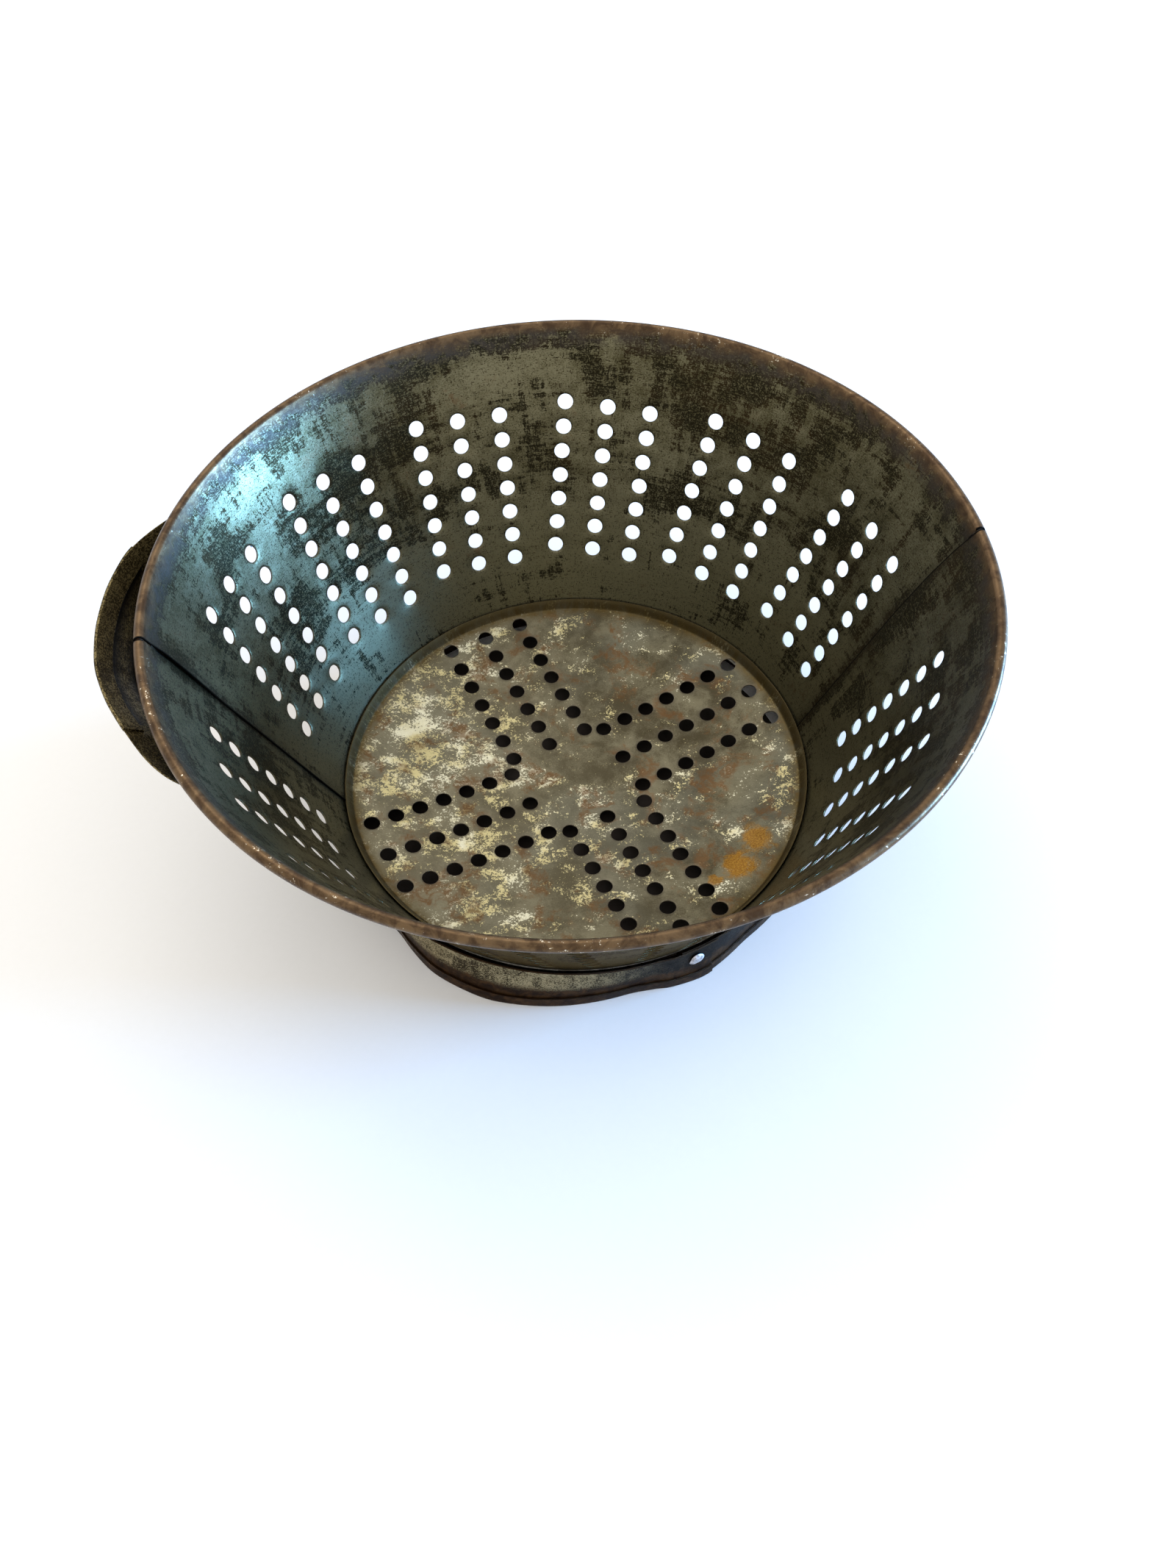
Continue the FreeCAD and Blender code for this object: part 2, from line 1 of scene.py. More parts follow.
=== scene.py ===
import math
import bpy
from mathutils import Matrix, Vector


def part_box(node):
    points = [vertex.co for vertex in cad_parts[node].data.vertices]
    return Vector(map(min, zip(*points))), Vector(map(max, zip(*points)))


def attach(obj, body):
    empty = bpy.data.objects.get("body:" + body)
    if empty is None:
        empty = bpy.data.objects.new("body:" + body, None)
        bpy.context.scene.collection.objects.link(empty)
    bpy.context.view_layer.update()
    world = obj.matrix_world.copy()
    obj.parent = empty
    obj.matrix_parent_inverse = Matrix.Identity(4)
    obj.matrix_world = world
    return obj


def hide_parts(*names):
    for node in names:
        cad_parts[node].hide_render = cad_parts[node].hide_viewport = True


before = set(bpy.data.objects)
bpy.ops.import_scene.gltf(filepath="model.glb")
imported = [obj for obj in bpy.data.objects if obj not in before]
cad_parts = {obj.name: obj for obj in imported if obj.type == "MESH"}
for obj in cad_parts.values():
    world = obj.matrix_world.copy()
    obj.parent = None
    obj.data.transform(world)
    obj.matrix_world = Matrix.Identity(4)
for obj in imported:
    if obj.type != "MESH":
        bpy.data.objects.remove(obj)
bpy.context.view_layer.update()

from types import SimpleNamespace

import bpy
import numpy as np
from mathutils import Euler, Vector, noise
from mathutils.geometry import delaunay_2d_cdt

# A tinplate strainer. Lengths are millimetres until a mesh is made, and angles are degrees
# round the bowl's axis, from +X. Heights are above the plane that the foot rests on.

MM = 0.001
SHEET = 0.5
FLARE = math.radians(24.6)
SIN, COS, TAN = math.sin(FLARE), math.cos(FLARE), math.tan(FLARE)


def box_mm(node):
    """The lowest and highest corners of a CAD node, in millimetres."""
    low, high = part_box(node)
    return low / MM, high / MM


# ---- sizes from the frame

WIRE_GAP = 0.05  # between the wire and the sheet rolled round it
FLANGE_HEIGHT = 4.0  # of the floor's upturned edge
WIRE_LOW, WIRE_HIGH = box_mm("rim_wire")
WIRE_RADIUS = (WIRE_HIGH.z - WIRE_LOW.z) / 2
RIM_LEVEL = (WIRE_HIGH.z + WIRE_LOW.z) / 2
RIM_RADIUS = WIRE_HIGH.x - WIRE_RADIUS
ROLL_RADIUS = WIRE_RADIUS + WIRE_GAP + SHEET / 2
FLOOR_LOW, FLOOR_HIGH = box_mm("floor_disc")
FLANGE_TOP = FLOOR_HIGH.z
FLOOR_LEVEL = FLANGE_TOP - FLANGE_HEIGHT - SHEET / 2
FLOOR_SAG = FLOOR_LEVEL - SHEET / 2 - FLOOR_LOW.z
FOOT_TOP = box_mm("foot_band")[1].z
FLOOR_RADIUS = RIM_RADIUS - ROLL_RADIUS / COS - (RIM_LEVEL - FLOOR_LEVEL) * TAN
APEX = FLOOR_RADIUS / SIN
WALL_TOP = (RIM_LEVEL - FLOOR_LEVEL + ROLL_RADIUS * SIN) / COS
WALL_FOOT = -2.2  # lower edge of the wall, along it from the floor
HOLE_RADIUS = 2.95
LAP = 6.0  # how far one panel's edge runs under the other
LAP_DROP = 3.5  # how far the hidden edge stops below the rolled rim
PANEL_OFFSET = 0.3  # how far a panel stands out from the wall's middle surface
BURR = 0.22  # height of the burr round each hole
BURR_REACH = 0.4
HOLE_SIDES = 24
HOLE_RINGS = (0.0, 0.35, 0.9)  # rings of points round each hole, out from its edge
SHARP_ANGLE = 38

# Groups of three columns of seven punched holes on each panel: direction of the middle,
# its distance from the floor along the wall, and the turn of the columns in the sheet.
BACK_GROUPS = [
    (161.3, 53.9, 4.2), (132.9, 53.5, 4.2), (104.6, 53.4, 4.2),
    (76.5, 53.4, 4.3), (48.5, 52.9, 5.0), (19.4, 50.2, 7.5),
]
FRONT_GROUPS = [
    (338.7, 51.8, 4.5), (310.9, 53.3, 4.4), (283.1, 53.3, 4.4),
    (255.6, 53.3, 4.4), (228.2, 53.3, 4.6), (200.9, 52.8, 6.1),
]
GROUP_SKEW, GROUP_FAN = 1.2, 1.4
COLUMN_PITCH, ROW_PITCH = 15.6, 9.4
COLUMN_STEPS, ROW_STEPS = (1, 0, -1), (3, 2, 1, 0, -1, -2, -3)

# Arms of the floor's cross: distance of the middle, its direction, direction of the rows.
FLOOR_ARMS = [
    (49.3, 110.5, 109.7), (49.6, 22.6, 20.1), (47.7, 291.9, 287.7), (48.0, 200.5, 199.9),
]
FLOOR_PITCH = 15.3

# Outside of the foot band where it rests, round the bowl: (direction, radius).
FOOT_SHAPE = [
    (0, 90.2), (60, 90.5), (120, 89.9), (180, 90.4), (203, 88.4), (216, 86.7), (229, 91.2),
    (243, 92.2), (258, 90.0), (275, 87.0), (291, 89.8), (304, 87.4), (320, 88.8), (340, 90.4),
]

# Top edge of the handle: (direction, distance from the axis, slope from the vertical).
HANDLE_ROUTE = [
    (146.0, 129.3, 24.6), (150.5, 129.4, 24.6), (154.0, 132.6, 25.0), (160.6, 140.6, 28.0),
    (164.4, 144.3, 30.0), (171.0, 146.4, 31.0), (178.5, 147.0, 33.0), (185.0, 146.4, 37.0),
    (190.0, 144.2, 43.0), (195.8, 140.9, 52.0), (202.0, 137.8, 56.0), (206.0, 134.6, 50.0),
    (209.5, 129.6, 30.0), (215.0, 129.3, 24.6),
]
HANDLE_DROP = 4.5  # of its top edge below the middle of the rim's wire
HANDLE_WIDTH = 22.0
HANDLE_HEM = 6.5  # width of each folded edge
HEM_START, HEM_END = 164.2, 195.6
TAB_LAP = 1.2  # how far the single tabs run into the hemmed grip


def smooth_step(low, high, value):
    """0 up to low, 1 from high on, and a smooth rise between."""
    share = np.clip((value - low) / (high - low), 0.0, 1.0)
    return share * share * (3 - 2 * share)


def fade(reach, value):
    """1 up to zero, falling smoothly to 0 at a reach."""
    return 1 - smooth_step(0.0, reach, value)


def bump(value, middle, reach):
    """1 at the middle, falling smoothly to 0 at a reach to either side."""
    return fade(reach, np.abs(value - middle))


def clearance(points, places):
    """Distance from each point to the nearest of the places."""
    return np.min(np.linalg.norm(points[:, None] - places[None], axis=2), axis=1)


def nearest(points, places):
    """Index of the point nearest to each place."""
    return [int(np.argmin(np.linalg.norm(points - place, axis=1))) for place in places]


def roughened(points, scale, seed):
    """Smooth noise from -1 to 1 at each point, with features of about a scale."""
    place = Vector((seed * 17.3, seed * 5.1, seed * 9.7))
    return np.array([noise.noise(Vector(point) / scale + place) for point in points])


# ---- meshes


def in_scene(name, data):
    """A new object of the scene."""
    item = bpy.data.objects.new(name, data)
    bpy.context.scene.collection.objects.link(item)
    return item


def make_piece(name, node, material, points, faces, attributes, normals=None):
    """A piece that stands for a CAD node, from points in mm, thickened if given normals."""
    if normals is not None:
        points, faces, attributes = thicken(points, normals, faces, attributes)
    mesh = bpy.data.meshes.new(name)
    mesh.from_pydata((np.asarray(points) * MM).tolist(), [], faces)
    for label, values in attributes.items():
        values = np.asarray(values, dtype=float)
        kind = "FLOAT_VECTOR" if values.ndim == 2 else "FLOAT"
        field = "vector" if values.ndim == 2 else "value"
        mesh.attributes.new(label, kind, "POINT").data.foreach_set(field, values.ravel())
    mesh.polygons.foreach_set("use_smooth", [True] * len(mesh.polygons))
    mesh.set_sharp_from_angle(angle=math.radians(SHARP_ANGLE))
    mesh.materials.append(material)
    mesh.validate()
    piece = in_scene(name, mesh)
    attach(piece, "root")
    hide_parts(node)


def shell_faces(faces, count):
    """Faces of a closed shell: a surface, the other one a count of points on, and the edge."""
    directed = {(face[k], face[(k + 1) % len(face)]) for face in faces for k in range(len(face))}
    shell = list(faces) + [tuple(count + index for index in reversed(face)) for face in faces]
    for start, end in sorted(directed):
        if (end, start) not in directed:
            shell.append((end, start, count + start, count + end))
    return shell


def thicken(points, normals, faces, attributes):
    """A closed shell round a middle surface: its normals' side first, then the other."""
    points, normals = np.asarray(points), np.asarray(normals)
    count = len(points)
    both = np.vstack([points + normals * SHEET / 2, points - normals * SHEET / 2])
    doubled = {label: np.concatenate([values, values]) for label, values in attributes.items()}
    doubled["side"] = np.concatenate([np.zeros(count), np.ones(count)])
    return both, shell_faces(faces, count), doubled


def grid_faces(rows, columns, closed=False, looped=False):
    """Quads over a grid stored row by row: closed joins a row's ends, looped the last row."""
    faces = []
    for row in range(rows if looped else rows - 1):
        for column in range(columns if closed else columns - 1):
            after = (column + 1) % columns
            low, high = row * columns, (row + 1) % rows * columns
            faces.append((low + column, low + after, high + after, high + column))
    return faces


def grid_normals(grid):
    """Unit normals of a grid of points, along its rows crossed with up its columns."""
    normals = np.cross(np.gradient(grid, axis=1), np.gradient(grid, axis=0))
    return normals / np.linalg.norm(normals, axis=2, keepdims=True)


def ring_rows(first, start, count):
    """Point indices of an edge and of the rings that continue it, stored from a start."""
    size = len(first)
    return [first] + [list(range(start + k * size, start + (k + 1) * size)) for k in range(count)]


def polar(radius, degrees, level):
    """Points from cylinder coordinates."""
    angle = np.radians(degrees)
    return np.stack(np.broadcast_arrays(
        radius * np.cos(angle), radius * np.sin(angle), level), axis=-1)


def triangulate(outline, holes, spacing):
    """Points and triangles over a punched outline, and each point's distance from a hole."""
    outline = np.asarray(outline, dtype=float)
    count = len(outline)
    points = [outline]
    edges = [(k, (k + 1) % count) for k in range(count)]
    turns = np.arange(HOLE_SIDES) * 2 * math.pi / HOLE_SIDES
    circle = np.stack([np.cos(turns), np.sin(turns)], axis=1)
    for hole in holes:
        edges += [(count + k, count + (k + 1) % HOLE_SIDES) for k in range(HOLE_SIDES)]
        points += [hole + circle * (HOLE_RADIUS + more) for more in HOLE_RINGS]
        count += len(HOLE_RINGS) * HOLE_SIDES
    low, high = outline.min(axis=0), outline.max(axis=0)
    rise = spacing * math.sqrt(3) / 2
    lattice = []
    for row, y in enumerate(np.arange(low[1] + 1, high[1], rise)):
        shift = spacing / 2 if row % 2 else 0.0
        lattice += [(x + shift, y) for x in np.arange(low[0] + 1, high[0], spacing)]
    lattice = np.array(lattice)
    from_ring = clearance(lattice, holes) - HOLE_RADIUS - HOLE_RINGS[-1]
    lattice = lattice[from_ring > 0.35 * spacing]
    points.append(lattice[clearance(lattice, outline) > 0.45 * spacing])
    flat = [Vector(point) for point in np.vstack(points)]
    found, _, faces = delaunay_2d_cdt(flat, edges, [], 1, 1e-6)[:3]
    found = np.array([tuple(point) for point in found])
    middles = np.array([found[list(face)].mean(axis=0) for face in faces])
    off = clearance(middles, holes)
    kept = [tuple(face) for face, away in zip(faces, off) if away > HOLE_RADIUS * 0.99]
    used = sorted({index for face in kept for index in face})
    order = {index: place for place, index in enumerate(used)}
    kept = [tuple(order[index] for index in face) for face in kept]
    return found[used], kept, clearance(found[used], holes) - HOLE_RADIUS


def at_holes(rim_gap, reach, extra=0):
    """1 at a hole's rim, falling off over a reach, and 0 at the extra points."""
    return np.concatenate([np.exp(-np.maximum(rim_gap, 0) / reach), np.zeros(extra)])


# ---- wall

PANEL_SPACING = 4.2
OUTLINE_STEP = 1.2
SEAM_REACH = 12.0  # the seam's distance is stored up to here
BULGE_LEVEL, BULGE_REACH = 88.0, 26.0
MEAN_RADIUS = 110.0  # turns a direction into a length for the texture
EDGE_REACH = 0.5
ROLL_START, ROLL_END, ROLL_STEP = 155.4, -152.0, 16.0
ROLL_TURNS = np.arange(ROLL_START - ROLL_STEP, ROLL_END, -ROLL_STEP)
ROLL_ARC = 0.43  # along the roll from one turn to the next, for the texture


def left_seam(level):
    """Direction of the left seam's visible edge at a height above the floor."""
    return 182.1 + 1.3 * smooth_step(-25.0, 100.0, level)


def right_seam(level):
    """Direction of the right seam's visible edge at a height above the floor."""
    return np.interp(level, (-3.0, 10.0, 34.0, 61.0, 79.0, 92.0, 102.0, 106.0),
                     (3.6, 3.4, 2.6, 2.0, 1.2, 0.2, -0.9, -1.2))


def wall_radius(level):
    """Radius of the wall's middle surface at a level."""
    return FLOOR_RADIUS + (level - FLOOR_LEVEL) * TAN


def on_wall(direction, slant, offset):
    """Points at a distance along the wall from the floor, moved out along its normal."""
    radius = FLOOR_RADIUS + slant * SIN + offset * COS
    return polar(radius, direction, FLOOR_LEVEL + slant * COS - offset * SIN)


def wall_holes(middle, groups):
    """Middles of one panel's holes in its flat sheet, whose Y axis is its middle line."""
    holes = []
    for direction, slant, turn in groups:
        swing = math.radians(direction - middle) * SIN
        rise = math.radians(turn + GROUP_SKEW)
        for column in COLUMN_STEPS:
            across, lean = column * COLUMN_PITCH, math.radians(turn - column * GROUP_FAN)
            for row in ROW_STEPS:
                along = row * ROW_PITCH
                side = across * math.cos(rise) - along * math.sin(lean)
                up = APEX + slant + across * math.sin(rise) + along * math.cos(lean)
                reach, spread = math.hypot(up, side), math.atan2(side, up) + swing
                holes.append((reach * math.sin(-spread), reach * math.cos(spread)))
    return np.array(holes)


def in_sheet(direction, slant, middle):
    """Places in a panel's flat sheet, from a direction and a distance along the wall."""
    spread = np.radians(np.asarray(direction) - middle) * SIN
    return np.stack(np.broadcast_arrays(
        -(APEX + slant) * np.sin(spread), (APEX + slant) * np.cos(spread)), axis=-1)


def panel_outline(middle, hidden, shown):
    """The flat outline of a panel between its hidden edge and its shown edge."""
    def lapped(slant):
        return hidden(slant * COS) - np.degrees(LAP / (FLOOR_RADIUS + slant * SIN))

    step = OUTLINE_STEP
    lap_top = WALL_TOP - LAP_DROP
    foot = np.arange(lapped(WALL_FOOT) + step, shown(WALL_FOOT * COS) - step / 2, step)
    top_start, top_end = hidden(WALL_TOP * COS) + 0.35, shown(WALL_TOP * COS)
    top = np.linspace(top_end, top_start, int((top_end - top_start) / step) + 1)
    rising = np.linspace(WALL_FOOT, WALL_TOP, 46)[:-1]
    falling = np.linspace(lap_top, WALL_FOOT, 44)
    pieces = [
        in_sheet(foot, WALL_FOOT, middle),
        np.array([in_sheet(shown(slant * COS), slant, middle) for slant in rising]),
        in_sheet(top, WALL_TOP, middle),
        in_sheet(np.array([top_start + 0.01]), lap_top + 0.4, middle),
        np.array([in_sheet(lapped(slant), slant, middle) for slant in falling]),
    ]
    return np.vstack(pieces), top


def wall_offset(direction, slant, hidden, shown, lift):
    """How far a panel's sheet stands out from the wall's middle surface."""
    level = slant * COS
    arc = math.radians(1) * (FLOOR_RADIUS + slant * SIN)
    from_hidden = (direction - hidden(level)) * arc
    to_shown = (shown(level) - direction) * arc
    joggle = 0.32 * fade(16.0, from_hidden) - 0.3 * fade(16.0, to_shown)
    bulge = lift * bump(level, BULGE_LEVEL, BULGE_REACH)
    raised, pushed = bulge * fade(9.0, to_shown), 0.35 * bulge * fade(9.0, from_hidden)
    flush = 1 - smooth_step(WALL_TOP - 9.0, WALL_TOP - 1.0, slant)
    return (PANEL_OFFSET + joggle - raised + pushed) * flush


def rim_roll(top):
    """Points and normals round the rim's wire, a row for each turn of the roll."""
    roll, normals = [], []
    for turn in np.radians(ROLL_TURNS):
        across, rise = math.cos(turn), math.sin(turn)
        roll.append(polar(RIM_RADIUS + ROLL_RADIUS * across, top, RIM_LEVEL + ROLL_RADIUS * rise))
        normals.append(polar(-across, top, -rise))
    return roll, normals


def seam_distance(direction, slant, top, hidden, shown):
    """Distance to the nearer seam, over a panel and then over its roll."""
    level = slant * COS
    near = np.minimum(np.abs(direction - hidden(level)), np.abs(direction - shown(level)))
    sheet = near * math.radians(1) * (FLOOR_RADIUS + slant * SIN)
    roll = np.minimum(top - top.min(), top.max() - top) * math.radians(1) * RIM_RADIUS
    return np.minimum(np.concatenate([sheet] + [roll] * len(ROLL_TURNS)), SEAM_REACH)


def wall_panel(name, node, middle, groups, hidden, shown, lift, seed, material):
    """One half of the bowl's wall: the punched sheet and its rolled upper edge."""
    outline, top = panel_outline(middle, hidden, shown)
    flat, faces, rim_gap = triangulate(outline, wall_holes(middle, groups), PANEL_SPACING)
    reach = np.linalg.norm(flat, axis=1)
    direction = middle + np.degrees(np.arctan2(-flat[:, 0], flat[:, 1])) / SIN
    slant = reach - APEX
    offset = wall_offset(direction, slant, hidden, shown, lift)
    still = smooth_step(0.0, 12.0, WALL_TOP - slant) * smooth_step(-2.0, 14.0, slant)
    surface = on_wall(direction, slant, 0.0)
    offset = offset + still * (0.3 * roughened(surface, 55.0, seed)
                               + 0.04 * roughened(surface, 15.0, seed + 1))
    offset = offset + BURR * at_holes(rim_gap, BURR_REACH)
    points = on_wall(direction, slant, offset)
    normals = polar(COS, direction, -SIN)

    # the roll starts from the sheet's own points along its upper edge
    edge = in_sheet(top, WALL_TOP, middle)
    roll, roll_normals = rim_roll(top)
    columns = len(top)
    extra = columns * len(roll)
    rows = ring_rows(nearest(flat, edge), len(points), len(roll))
    faces = [face if upright(flat, face) else face[::-1] for face in faces]
    for low, high in zip(rows, rows[1:]):
        for k in range(columns - 1):
            faces.append((low[k + 1], low[k], high[k], high[k + 1]))
    points = np.vstack([points] + roll)
    normals = np.vstack([normals] + roll_normals)
    arc = math.radians(1) * MEAN_RADIUS
    lay = [np.stack([direction * arc, slant, slant * 0], 1)]
    lay += [np.stack([top * arc, top * 0 + WALL_TOP + ROLL_ARC * (k + 1), top * 0], 1)
            for k in range(len(roll))]
    rolled = np.ones(extra)
    attributes = {
        "flat": np.vstack(lay) * MM,
        "bead": np.concatenate([smooth_step(WALL_TOP - 0.6, WALL_TOP, slant), rolled]),
        "under": np.concatenate([smooth_step(WALL_TOP - 8.5, WALL_TOP - 4.5, slant), rolled]),
        "edge": at_holes(rim_gap, EDGE_REACH, extra),
        "seam": seam_distance(direction, slant, top, hidden, shown),
    }
    make_piece(name, node, material, points, faces, attributes, normals)


def upright(flat, face):
    """Whether a flat triangle runs clockwise, so that it faces out of the rolled-up wall."""
    a, b, c = (flat[index] for index in face)
    return (b[0] - a[0]) * (c[1] - a[1]) - (b[1] - a[1]) * (c[0] - a[0]) < 0


# ---- floor

FLOOR_SPACING = 3.6
FLOOR_STEPS = 200  # points round the floor's edge
FLAT_RADIUS = FLOOR_RADIUS - 1.5
FLOOR_BEND = 1.3  # radius of the bend below the upturned edge
FLANGE_RISES = (1.6, 2.6, 3.5, FLANGE_TOP - FLOOR_LEVEL - SHEET / 2 * SIN)


def floor_holes():
    """Middles of the floor's holes."""
    holes = []
    for distance, middle, turn in FLOOR_ARMS:
        centre = polar(distance, middle, 0.0)[:2]
        for column in COLUMN_STEPS:
            for row in ROW_STEPS:
                along = polar(row * ROW_PITCH, turn, 0.0)[:2]
                across = polar(column * FLOOR_PITCH, turn + 90, 0.0)[:2]
                holes.append(centre + along + across)
    return np.array(holes)


def flange_profile():
    """The upturned edge's section: (radius, height above the floor's edge, slope)."""
    start = math.atan(2 * FLOOR_SAG / FLAT_RADIUS)
    profile = []
    for swing in np.linspace(start, math.pi / 2 - FLARE, 6)[1:]:
        profile.append((FLAT_RADIUS + FLOOR_BEND * (math.sin(swing) - math.sin(start)),
                        FLOOR_BEND * (math.cos(start) - math.cos(swing)), math.degrees(swing)))
    radius, height, slope = profile[-1]
    for rise in FLANGE_RISES:
        profile.append((radius + (rise - height) * TAN, rise, slope))
    return profile


def floor_disc(material):
    """The punched floor and its upturned edge."""
    steps, profile = FLOOR_STEPS, flange_profile()
    flange, extra = FLANGE_RISES[-1], steps * len(profile)
    angles = np.arange(steps) * 360 / steps
    outline = polar(FLAT_RADIUS, angles, 0.0)[:, :2]
    flat, faces, rim_gap = triangulate(outline, floor_holes(), FLOOR_SPACING)
    faces = [face[::-1] if upright(flat, face) else face for face in faces]
    reach = np.linalg.norm(flat, axis=1)
    inner = 1 - smooth_step(FLAT_RADIUS - 12, FLAT_RADIUS, reach)
    surface = np.column_stack([flat, flat[:, 0] * 0])
    dents = inner * (0.45 * roughened(surface, 42.0, 7) + 0.14 * roughened(surface, 12.0, 8))
    dish = FLOOR_SAG * (1 - (reach / FLAT_RADIUS) ** 2)
    burrs = 0.75 * BURR * at_holes(rim_gap, BURR_REACH)
    points = np.column_stack([flat, FLOOR_LEVEL - dish + dents - burrs])
    normals = np.column_stack([-2 * FLOOR_SAG / FLAT_RADIUS ** 2 * flat, np.ones(len(flat))])
    normals /= np.linalg.norm(normals, axis=1, keepdims=True)
    rows = ring_rows(nearest(flat, outline), len(points), len(profile))
    ring, ring_normals = [], []
    wobble = roughened(polar(60.0, angles, 0.0), 9.0, 11)
    for radius, rise, turn in profile:
        lip = wobble * 0.16 * smooth_step(1.0, flange, rise)
        ring.append(polar(radius - np.abs(lip), angles, FLOOR_LEVEL + rise + np.minimum(lip, 0)))
        swing = math.radians(turn)
        ring_normals.append(polar(-math.sin(swing), angles, math.cos(swing)))
    for low, high in zip(rows, rows[1:]):
        for k in range(steps):
            after = (k + 1) % steps
            faces.append((low[k], high[k], high[after], low[after]))
    points = np.vstack([points] + ring)
    normals = np.vstack([normals] + ring_normals)
    corner = smooth_step(FLAT_RADIUS - 3.5, FLAT_RADIUS, reach)
    brim = [np.full(steps, smooth_step(2.2, flange, rise)) for _, rise, _ in profile]
    attributes = {
        "flat": points * (MM, MM, 0),
        "edge": at_holes(rim_gap, EDGE_REACH, extra),
        "corner": np.concatenate([corner, np.ones(extra)]),
        "brim": np.concatenate([reach * 0] + brim),
    }
    make_piece("punched_floor", "floor_disc", material, points, faces,
               attributes, normals)


# ---- foot

COLLAR_START = 18.3  # level of the knee between the band and its collar
KNEE_RADIUS = wall_radius(COLLAR_START) + 1.05
LAP_ANGLE, LAP_HALF = 289.4, 4.6  # where the band's ends lap, at the rivet
FOOT_STEP = 1.2
FOOT_RADIUS = 88.0
RIVET_LEVEL = 12.0
SMOOTHING = 4.0  # degrees to either side


def periodic(controls, direction):
    """A smooth closed curve through (direction, value) controls."""
    at, values = zip(*controls)
    spread = np.linspace(-SMOOTHING, SMOOTHING, 9)
    weights = np.cos(spread / SMOOTHING * math.pi / 2) ** 2
    total = sum(weight * np.interp((direction + shift) % 360, at, values, period=360)
                for shift, weight in zip(spread, weights))
    return total / weights.sum()


def foot_outside(direction, level):
    """Radius of the foot band's outside at a direction and a level, below its collar."""
    base = periodic(FOOT_SHAPE, direction)
    share = np.clip(level / COLLAR_START, 0, 1)
    return base + (KNEE_RADIUS + SHEET - base) * share ** 1.25


def foot_profile():
    """The band's section from its hem to its collar: (level, step out from the band)."""
    hem = [(4.3, 0.62), (3.2, 0.6), (1.8, 0.6), (0.8, 0.58)]
    fold = []
    for turn in np.linspace(0, 180, 7)[1:-1]:
        swing = math.radians(turn)
        fold.append((0.56 - 0.31 * math.sin(swing), 0.3 + 0.28 * math.cos(swing)))
    band = [(level, 0.0) for level in (0.7, 2.0, 4.0, 5.2, 7.5, 10, 12.5, 15, 17, COLLAR_START)]
    collar = [(level, 0.0) for level in (19.2, 20.4, 21.8, 23.0, FOOT_TOP - 0.15)]
    return hem + fold + band + collar


def foot_band(material):
    """The foot: a hemmed strip bent round the bowl, its ends lapped."""
    directions = np.arange(LAP_ANGLE - LAP_HALF, LAP_ANGLE + LAP_HALF + 360.01, FOOT_STEP)
    end = directions[-1]
    lapped = 0.58 * smooth_step(end - 13.5, end - 10.0, directions)
    lip = 0.25 + 0.95 * smooth_step(214, 232, directions % 360) * (
        1 - smooth_step(296, 312, directions % 360))
    grid, rises = [], []
    for level, step in foot_profile():
        if level <= COLLAR_START:
            radius = foot_outside(directions, level) - SHEET / 2
        else:
            climb = level - COLLAR_START
            share = climb / (FOOT_TOP - COLLAR_START)
            radius = KNEE_RADIUS + SHEET / 2 + climb * TAN + lip * share ** 1.6
        crinkle = 0.22 * roughened(polar(FOOT_RADIUS, directions, level), 11.0, 21)
        crinkle *= smooth_step(0.0, 6.0, level) * (1 - smooth_step(14.0, 18.0, level))
        grid.append(polar(radius + step + lapped + crinkle, directions, level))
        rises.append(np.full(len(directions), level))
    grid = np.array(grid)
    normals = grid_normals(grid)
    faces = grid_faces(len(grid), len(directions))
    level = np.concatenate(rises)
    arc = np.tile(directions * math.radians(FOOT_RADIUS), len(grid))
    hem = 1 - smooth_step(3.6, 5.4, level)
    collar = smooth_step(COLLAR_START - 0.8, COLLAR_START + 1.2, level)
    attributes = {
        "flat": np.column_stack([arc, level, level * 0]) * MM, "hem": hem, "collar": collar,
        "left": np.tile(1 - smooth_step(262, 284, directions % 360), len(grid)),
    }
    make_piece("foot_ring", "foot_band", material, grid.reshape(-1, 3), faces,
               attributes, normals.reshape(-1, 3))


def foot_rivet(material):
    """The rivet's hammered head and its closed end."""
    outward = polar(1.0, LAP_ANGLE, 0.0)
    sideways = polar(1.0, LAP_ANGLE + 90, 0.0)
    seat = foot_outside(np.array([LAP_ANGLE]), RIVET_LEVEL)[0] + SHEET
    section = [
        (1.7, -1.9), (1.9, -1.4), (1.2, -1.2), (1.2, 0.0), (2.55, 0.0), (2.68, 0.22),
        (2.45, 0.52), (1.9, 0.78), (1.15, 0.93), (0.45, 0.98),
    ]
    turns = np.arange(0, 360, 12)
    points, lay = [], []
    for radius, out in section:
        for turn in turns:
            lobe = 1 + 0.05 * math.cos(math.radians(3 * turn + 40))
            lobe += 0.16 * bump(turn, 198, 26) * (radius > 2)
            dent = 0.12 * noise.noise(Vector((radius * 0.8, turn * 0.02, 3.0))) * (out > 0.4)
            across, up = polar(radius * lobe, turn, 0.0)[:2]
            centre = outward * (seat + out + dent) + sideways * across
            points.append(centre + np.array([0, 0, RIVET_LEVEL + up]))
            lay.append((across, up, out))
    rows = len(section)
    faces = grid_faces(rows, len(turns), closed=True)
    for row, out in ((0, section[0][1]), (rows - 1, section[-1][1] + 0.02)):
        points.append(outward * (seat + out) + np.array([0, 0, RIVET_LEVEL]))
        lay.append((0, 0, out))
        centre = len(points) - 1
        for k in range(len(turns)):
            pair = (row * len(turns) + k, row * len(turns) + (k + 1) % len(turns))
            faces.append((*(pair if row else pair[::-1]), centre))
    make_piece("rivet_head", "foot_rivet", material, points, faces,
               {"flat": np.array(lay) * MM})


# ---- handle

